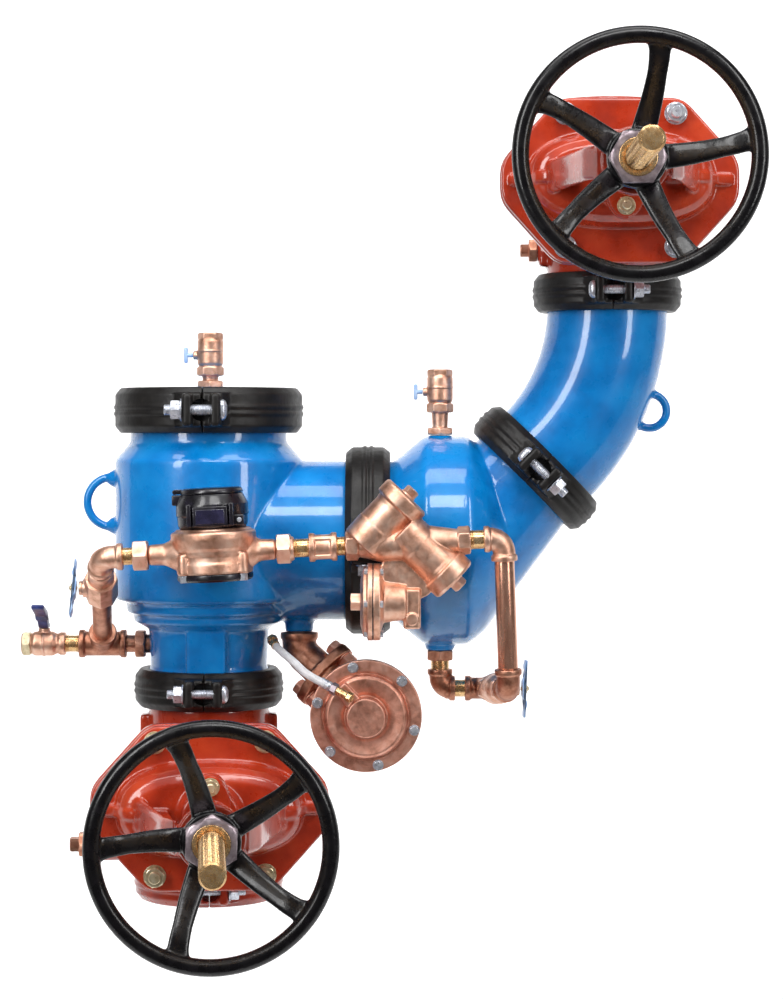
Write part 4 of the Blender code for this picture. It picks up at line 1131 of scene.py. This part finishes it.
def bypass_inlet():
    along, climb = place(TEE, (1, 0, 0), (0, 0, 1)), place(TEE, CLIMB)
    tee = [band(17, 33, place(TEE + Vector((33 * way, 0, 0)), (-way, 0, 0))) for way in (-1, 1)]
    tee += [band(17, 34, place(TEE + CLIMB * 34, -CLIMB)), rod(17, -20, 20, along)]
    cuts = [rod(9, -60, 70, along), rod(9, 0, 110, climb)]
    piece("tee_casting", cast(tee, 0.95, cuts, 3), "dark_bronze", replaces=["bypass_tee"])
    riser = [lathe([(10.2, 33), (TUBE_R, 33), (TUBE_R, 132), (10.2, 132)], climb, 48, 0.6)]
    piece("bypass_riser_nipple", riser, "dark_bronze")
    bushing = [lathe([(9, 32), (12, 32), (12, 50), (9, 50)], along, 40, 0.5), flats(36, 46, 60, along),
               rod(13, 58, 68, along)]
    piece("neck_bushing", bushing, "dark_bronze")
    piece("drain_nipple", nipple(along, -53, -32), "brass")

    pivot = TEE + Vector((-82.5, 0, 0))
    drain = [lathe([(0, -52.3), (16, -52.3), (16, -60), (13.5, -64), (17, -70), (17, -96), (13.5, -101),
                    (15, -104), (15, -114), (0, -114)], along, 48, 1.5),
             rod(8, 8, 22, place(pivot)), torus(17, 1.3, -83, along, 48, 12)]
    casting = cast(drain, 0.95, [rod(10, -120, -50, along)], 2)
    piece("drain_casting", casting, "cast_bronze", replaces=["drain_valve_body"])
    rim = lathe([(10, -114), (12, -114), (12, -109), (10, -109)], along, 40, 0.4)
    piece("drain_end_nut", [rim, flats(31, -112.5, -101, along)], "gold_zinc")
    lever_plane = place(pivot, (-1, 0, 0), (0, -1, 0))
    blade = [(-8, 22.6), (12, 22.6), (33, 42), (70, 54), (71, 59), (32, 47.5), (9, 27.5), (-8, 27.5)]
    sleeve = [(26, 33), (36, 41.5), (72, 53.5), (72, 60), (31, 49.5), (19, 38.5)]
    lever = [prism(blade, -7, 7, lever_plane, 2, 1), prism(sleeve, -9, 9, lever_plane, 2.5, 2.4)]
    piece("drain_lever_sleeve", cast(lever, 0.9, (), 2), "lever_navy", "drain_lever", ["drain_valve_lever"])
    piece("drain_lever_nut", nut(place(pivot + Vector((0, 0, 27.6))), 13, 8, 4, 11), "steel", "drain_lever")


def t_handle(name, body, at, reach, half_length, replaces):
    """A folded sheet wing handle with its nut, on a stem along the shape's own Z."""
    edge_on = at @ Matrix.Rotation(math.pi / 2, 4, "X") @ Matrix.Translation((0, reach * MM, 0))
    scale = half_length / 42
    middle = smooth([(-42, -0.5), (-32, 0.2), (-20, 3.2), (-12, -3.6), (-6, -4.6), (6, -4.6), (12, -3.6),
                     (20, 3.2), (32, 0.2), (42, 3.4)], 5)
    sway = min(0.55, scale)
    upper = [(p.x * scale, p.y * sway + 1.1) for p in middle]
    lower = [(p.x * scale, p.y * sway - 1.1) for p in reversed(middle)]
    wing = [prism(upper + lower, -7, 7, edge_on, 0.1, 0.5)]
    piece(name, wing, "handle_blue", body, replaces)
    piece(name + "_nut", nut(lift(at, reach - 3), 11, 6.5, 3.5, 9), "gold_zinc", body)


def ball_valve(name, at, length, replaces, stem_at):
    """A small ball valve body along the shape's own Z: hex ends, a barrel and a stem boss."""
    barrel = [(0, 8), (15, 10), (16, 20), (20.5, 34), (20.5, length - 42), (17, length - 26),
              (15, length - 10), (0, length - 8)]
    shapes = [flats(34, 0, 15, at), flats(34, length - 15, length, at), lathe(barrel, at, 56, 4),
              torus(20.3, 1.2, length - 44, at, 56, 10), rod(9.5, 10, 30, stem_at), rod(12, 8, 24, stem_at)]
    piece(name, cast(shapes, 0.95, [rod(10, -5, length + 5, at)], 2), "cast_bronze", replaces=replaces)


def inlet_shutoff():
    middle = TEE + CLIMB * 158
    stem_at = place(middle, (-1, 0, 0), (0, 0, 1))
    climb = place(TEE, CLIMB)
    upper_end = [(0, 180), (17.5, 180), (16, 192), (17.5, 196), (17.5, 205.7), (0, 205.7)]
    shapes = [flats(42, 139, 184, turned(climb, 22.5), 8),
              lathe([(0, 130), (16, 130), (18, 134), (18, 142), (0, 142)], climb, 48, 1.5),
              lathe(upper_end, climb, 48, 1.5),
              rod(9.5, 10, 30, stem_at), rod(12.5, 8, 24.5, stem_at)]
    valve = cast(shapes, 0.95, [rod(10, 120, 210, climb)], 1)
    piece("inlet_shutoff_casting", valve, "cast_bronze", replaces=["inlet_shutoff_body"])
    across = CLIMB.cross(Vector((-1, 0, 0)))
    wing_at = place(middle, (-1, 0, 0), across)
    t_handle("inlet_shutoff_wing", "inlet_shutoff_lever", wing_at, 37.5, 42, ["inlet_shutoff_handle"])
    start = TEE + CLIMB * (206 + GAP)
    end = bypass_point(METER_ENDS_X[0] - GAP)
    elbow_end = bypass_point(BYPASS_LEFT.x + 30)
    banded_elbow("inlet_elbow_casting", "cast_bronze", start + CLIMB * 3, BYPASS_LEFT, elbow_end, 15.3, 18,
                 ["bypass_inlet_elbow"])
    flow = place(elbow_end, LINE, (0, 0, 1))
    reach = (end - elbow_end).length
    piece("meter_inlet_nipple", [rod(11.5, -6, reach, flow)], "brass")
    piece("meter_inlet_nut", [flats(38, reach - 20, reach, flow)], "cast_bronze")


def meter():
    centre = bypass_point(METER_X)
    upright = place(centre, (-BYPASS_RISE, 0, 1))
    flow = place(centre, LINE, (0, 0, 1))
    left, right = METER_ENDS_X[0] - METER_X, METER_ENDS_X[1] - METER_X
    case = [(0, 32), (49, 32), (50, 30), (56.6, 27), (56.6, 18), (53, 6), (50.5, 2), (50.5, -2), (49, -4),
            (49, -12), (50.5, -14), (50.5, -28), (0, -28)]
    shapes = [lathe(case, upright, 96, 2)]
    for end, way in ((right, 1), (-left, -1)):
        spud = [(0, end), (13.5, end), (14.5, end - 22), (25, 46), (26, 30), (0, 30)]
        shapes.append(lathe([(r, way * z) for r, z in spud], flow, 64, 4))
    for degrees in METER_LUG_DEG:
        lug = lift(turned(upright, degrees), 0, 49)
        shapes.append(lathe([(0, 0), (7, 0), (8.5, -8), (8.5, -28), (0, -28)], lug, 32, 2))
    casting = cast(shapes, 1.2, [rod(9, left - 5, right + 5, flow)], 3)
    piece("meter_casting", casting, "cast_bronze", replaces=["meter_body"])
    plate = lathe([(0, -28.2), (50.5, -28.2), (50.5, -35), (47, -37.8), (0, -37.8)], upright, 96, 1)
    piece("meter_bottom_plate", [plate], "register_black")
    bolts = []
    for degrees in METER_LUG_DEG:
        bolts += nut(flipped(lift(turned(upright, degrees), -28.5, 49)), 11, 9)
    piece("meter_bottom_bolts", bolts, "steel")
    housing = [(0, 77.9), (41, 77.9), (42.5, 75), (48, 64), (48.3, 50), (46.8, 48.5), (46.5, 37),
               (44, 32.4), (0, 32.4)]
    register = [lathe(housing, upright, 96, 1.2),
                box((-23, -48.8, 36), (23, -36, 62), upright, 1.5),
                box((30, -42, 36), (44, -28, 50), upright, 2),
                box((-52.5, -9, 64), (-38, 9, 77.9), upright, 2),
                box((-31, -49.5, 36), (-25, -34, 66), upright, 1.5),
                box((25, -49.5, 36), (31, -34, 66), upright, 1.5)]
    piece("register_housing", register, "register_black", replaces=["meter_register"])
    # The window panel's lighter bluish tone is partly a painted highlight on dark glass.
    piece("register_front_panel", [box((-19, -49.3, 39), (19, -40, 58), upright, 0.8)], "register_window_and_painted_highlight")
    screw_at = front_of(lift(upright, 43, 38, -41))
    piece("register_seal_screw", [rod(3.2, 0, 3.5, screw_at, 24)], "steel")
    lid = [lathe([(0, 85.8), (37, 85.8), (40.5, 84), (41.8, 81), (41.8, 78.4), (0, 78.4)], upright, 96, 1.2),
           lathe([(0, 86), (12, 86), (13, 85), (0, 85)], upright, 48, 0.3),
           rod(3.4, -8.5, 8.5, place((-48, 0, 81.8), (0, 1, 0), frame=upright), 28),
           box((-49, -7.5, 79), (-36, 7.5, 85), upright, 1.2)]
    piece("register_lid_cap", lid, "register_black", "register_lid", ["meter_lid"])


def meter_outlet():
    start = bypass_point(METER_ENDS_X[1] + GAP)
    length = (bypass_point(TAILPIECE_END_X) - start).length - GAP
    at = place(start, LINE, (0, 0, 1))
    tube = [rod(11.5, 0, length, at, 40), *nipple(at, 22, 46, 12.2), *nipple(at, length - 14, length, 12.2)]
    piece("meter_outlet_nipple", tube, "brass", replaces=["meter_outlet_tailpiece"])
    union = [flats(38, 0, 19, at), lathe([(11, 19), (17, 19), (15, 23), (11, 23)], at, 40, 0.5)]
    piece("meter_outlet_nut", union, "cast_bronze")
    sleeve = [band(16.5, 20, lift(at, 43)), band(16.5, 20, place((0, 0, length - 11), (0, 0, -1), frame=at))]
    for i in range(4):
        sleeve.append(box((14, -3, 45), (19, 3, length - 12), turned(at, 45 + 90 * i), 1))
    piece("bypass_sleeve_coupling", cast(sleeve, 0.9, [rod(11.7, 40, length, at)], 2), "cast_bronze")


def check_tower(at, height, barrel_r, cap_r, cap_low):
    """A capped spring tower of the small check valve."""
    return lathe([(0, height), (cap_r - 3, height), (cap_r, height - 3), (cap_r, cap_low + 2),
                  (barrel_r + 1, cap_low),
                   (barrel_r + 1, cap_low - 3), (barrel_r, cap_low - 6), (barrel_r, 22),
                   (barrel_r + 0.8, 20), (barrel_r, -9), (0, -9)], at, 72, 1.6)


def bypass_check():
    start, end = bypass_point(TAILPIECE_END_X), bypass_point(BYPASS_CHECK_END_X)
    flow = place(start, LINE, (0, 0, 1))
    length = (end - start).length
    first = place((223, BYPASS_Y, 483), (1, 0, 1.05), (0, -1, 0))
    second = place((278, BYPASS_Y, 489), (1, 0, -0.957), (0, -1, 0))
    run = [(0, length - 14), (15, length - 14), (17, length - 26), (23, length - 60), (23.5, 44), (17, 24),
           (15, 14), (0, 14)]
    relief = place((232 + GAP, BYPASS_Y, 400), (1, 0, 0), (0, 0, 1))
    flare = [(0, 44), (24, 44), (26, 26), (28, 14), (38, 11), (51, 10), (51.3, 0), (0, 0)]
    facing = place((0, BYPASS_Y, 0), (0, -1, 0), (1, 0, 0))
    web = [(238, 411), (240, 440), (250, 468), (270, 478), (282, 452), (300, 440), (314, 427), (310, 412),
           (296, 404), (262, 402)]
    shapes = [flats(35, 0, 17, turned(flow, 30)), flats(33, length - 17, length, turned(flow, 30)),
              lathe(run, flow, 72, 5),
              check_tower(first, 80, 28.5, 34.5, 58), check_tower(second, 88, 28.5, 33, 64),
              lathe(flare, relief, 72, 2),
              prism(web, -7, 7, facing, 8, 2), box((272.4, 364.4, -13.6), (295.6, 418, 13.6), facing, 4)]
    shapes.append(rod(8, 12, 15.5, place((284, BYPASS_Y, 378), (0, -1, 0)), 32))
    casting = cast(shapes, 1.0, [rod(9, -5, length + 5, flow)], 1)
    piece("bypass_check_casting", casting, "cast_bronze", replaces=["bypass_check_body"])
    plugs = [flats(15, 78, 92, turned(first, 20), 4), rod(11, 79, 82, first),
             flats(15, 86, 100, turned(second, 30), 4), rod(11, 87, 90, second)]
    piece("tower_plugs", plugs, "cast_bronze")
    cover = [(0, -GAP), (51, -GAP), (51.3, -2), (51.3, -7), (47, -8), (46, -13), (30, -16.8), (14, -17),
             (0, -17)]
    cap = [lathe(cover, relief, 72, 1.2), flats(22, -30, -15, relief)]
    piece("bypass_relief_cap", cap, "cast_bronze", replaces=["bypass_relief_cover"])
    ring = [lathe([(51.3, 0.6), (51.3, -0.8), (44, -0.8), (44, 0.6)], relief, 72, 0.2)]
    piece("bypass_relief_gasket", ring, "register_black")
    screws = []
    for i in range(6):
        seat = lift(turned(relief, 30 + 60 * i), -7.2, 46.8)
        screws += [flats(8, -4.6, 0.6, seat), flats(8, 16.5, 21, seat)]
    piece("bypass_relief_screws", screws, "steel")


def bypass_outlet():
    corner = bypass_point(BYPASS_RIGHT_X)
    start = bypass_point(BYPASS_CHECK_END_X) + LINE * GAP
    mouth = corner - LINE * 26
    down = (RISER_FOOT - corner).normalized()
    top, foot = corner + down * 30, RISER_FOOT - down * 27
    banded_elbow("outlet_elbow_fitting", "cast_bronze", mouth, corner, top, 15, 18, ["bypass_outlet_elbow"])
    reach = (mouth - start).length
    piece("bypass_outlet_nipple", nipple(place(start, LINE), -2, reach + 4, 12.5), "brass")
    riser = place(top + down * GAP, down)
    length = (foot - top).length - 2 * GAP
    tube = lathe([(TUBE_R, length), (TUBE_R, 0), (11, 0), (11, length)], riser, 64, 0.3)
    piece("copper_riser", [tube], "copper_tube", replaces=["bypass_riser"])

    back = Vector((RISER_FOOT.x - 26, 0, RISER_FOOT.z - 18))
    run = (back - RISER_FOOT).normalized()
    foot_end = RISER_FOOT + run * 28
    banded_elbow("foot_elbow_fitting", "dark_bronze", foot, RISER_FOOT, foot_end, 15.6, 18,
                 ["riser_foot_elbow"])
    valve = place(foot_end + run * GAP, run)
    middle = foot_end + run * 58
    out = (Vector((1, 0, 0)) - run * run.x).normalized()
    stem_at = place(middle, out, (0, 0, 1))
    ball_valve("outlet_shutoff_casting", valve, 118, ["outlet_shutoff_body"], stem_at)
    t_handle("outlet_shutoff_wing", "outlet_shutoff_lever", stem_at, 37.5, 39, ["outlet_shutoff_handle"])

    corner_low = Vector((RETURN_BOSS_X, 0, back.z))
    back_start = foot_end + run * (118 + 2 * GAP)
    boss_low = Vector((RETURN_BOSS_X, 0, CHECK_Z - 154 - GAP))
    side_end = back + Vector((-27, 0, 0))
    banded_elbow("return_elbow_right", "dark_bronze", back_start, back, side_end, 15, 18, ["return_elbow"])
    low_mouth, high_mouth = corner_low + Vector((21, 0, 0)), corner_low + Vector((0, 0, 27))
    banded_elbow("return_elbow_left", "dark_bronze", low_mouth, corner_low, high_mouth, 15, 16, [])
    nipple_end = (side_end - low_mouth).length + 3
    piece("return_nipple", [rod(12, -3, nipple_end, place(low_mouth, (1, 0, 0)))], "brass")
    rise = place(high_mouth)
    reach = (boss_low - high_mouth).length
    piece("return_riser_nipple", nipple(rise, -4, reach - 8, 12.5), "brass")
    piece("return_bushing", [flats(35, reach - 14, reach, rise)], "dark_bronze")


def test_cock(number, foot, riser=0.0):
    """A small ball valve on a hex foot, with this much more nipple between them."""
    at = place(foot)
    top = lift(at, riser)
    middle = Vector(foot) + Vector((0, 0, 46 + riser))
    side_at = place(middle, (-1, 0, 0), (0, 0, 1))
    shapes = [flats(34, 0, 10, at), lathe([(0, 19 + riser), (12, 19 + riser), (10.5, 9), (0, 9)], at, 48, 1),
              flats(33, 17, 30, turned(top, 30)), torus(17.8, 1.0, 52, top, 56, 12),
              lathe([(0, 70), (15.5, 70), (18, 66), (18, 34), (15, 30), (15, 26), (0, 26)], top, 64, 1.6),
              flats(31, 67, 77.6, turned(top, 30)),
              lathe([(0, 24), (6, 24), (6, 18), (10, 16), (11, 8), (0, 8)], side_at, 40, 1.5)]
    piece(f"test_cock_{number}_casting", cast(shapes, 0.8, [rod(10, 73, 80, top)], 1), "cast_bronze",
          replaces=[f"test_cock_{number}_body"])
    wing = [prism([(-11, -3), (11, -3), (11, 3), (-11, 3)], 31.5, 37, side_at, 2.5, 2),
            rod(3, 24.3, 33, side_at)]
    piece(f"test_cock_{number}_wing", wing, "handle_blue", f"cock_{number}_lever",
          [f"test_cock_{number}_handle"])


# ---------------------------------------------------------------- the scene

camera()
light()
stage()
gate_valve("inlet", 0, VALVE_LENGTH / 2, INLET_YAW, INLET_OPENING, INLET_SPOKE_DEG, INLET_PLUG,
           "gold_zinc")
gate_valve("outlet", OUTLET_X, OUTLET_CENTRE_Z, OUTLET_YAW, OUTLET_OPENING, OUTLET_SPOKE_DEG, OUTLET_PLUG,
           "steel")
couplings()
check_body()
second_check_body()
outlet_elbow()
check_spring("first", place((0, 0, 372 + GAP)))
check_spring("second", place((250 - GAP - 16, 0, CHECK_Z), (1, 0, 0), (0, 0, 1)))
hidden_nodes()
relief_valve()
sensing_hose()
bypass_inlet()
inlet_shutoff()
meter()
meter_outlet()
bypass_check()
bypass_outlet()
test_cock(1, (2, 0, 687 + GAP))
test_cock(2, (RETURN_BOSS_X, 0, CHECK_Z + 148 + GAP), 14.5)
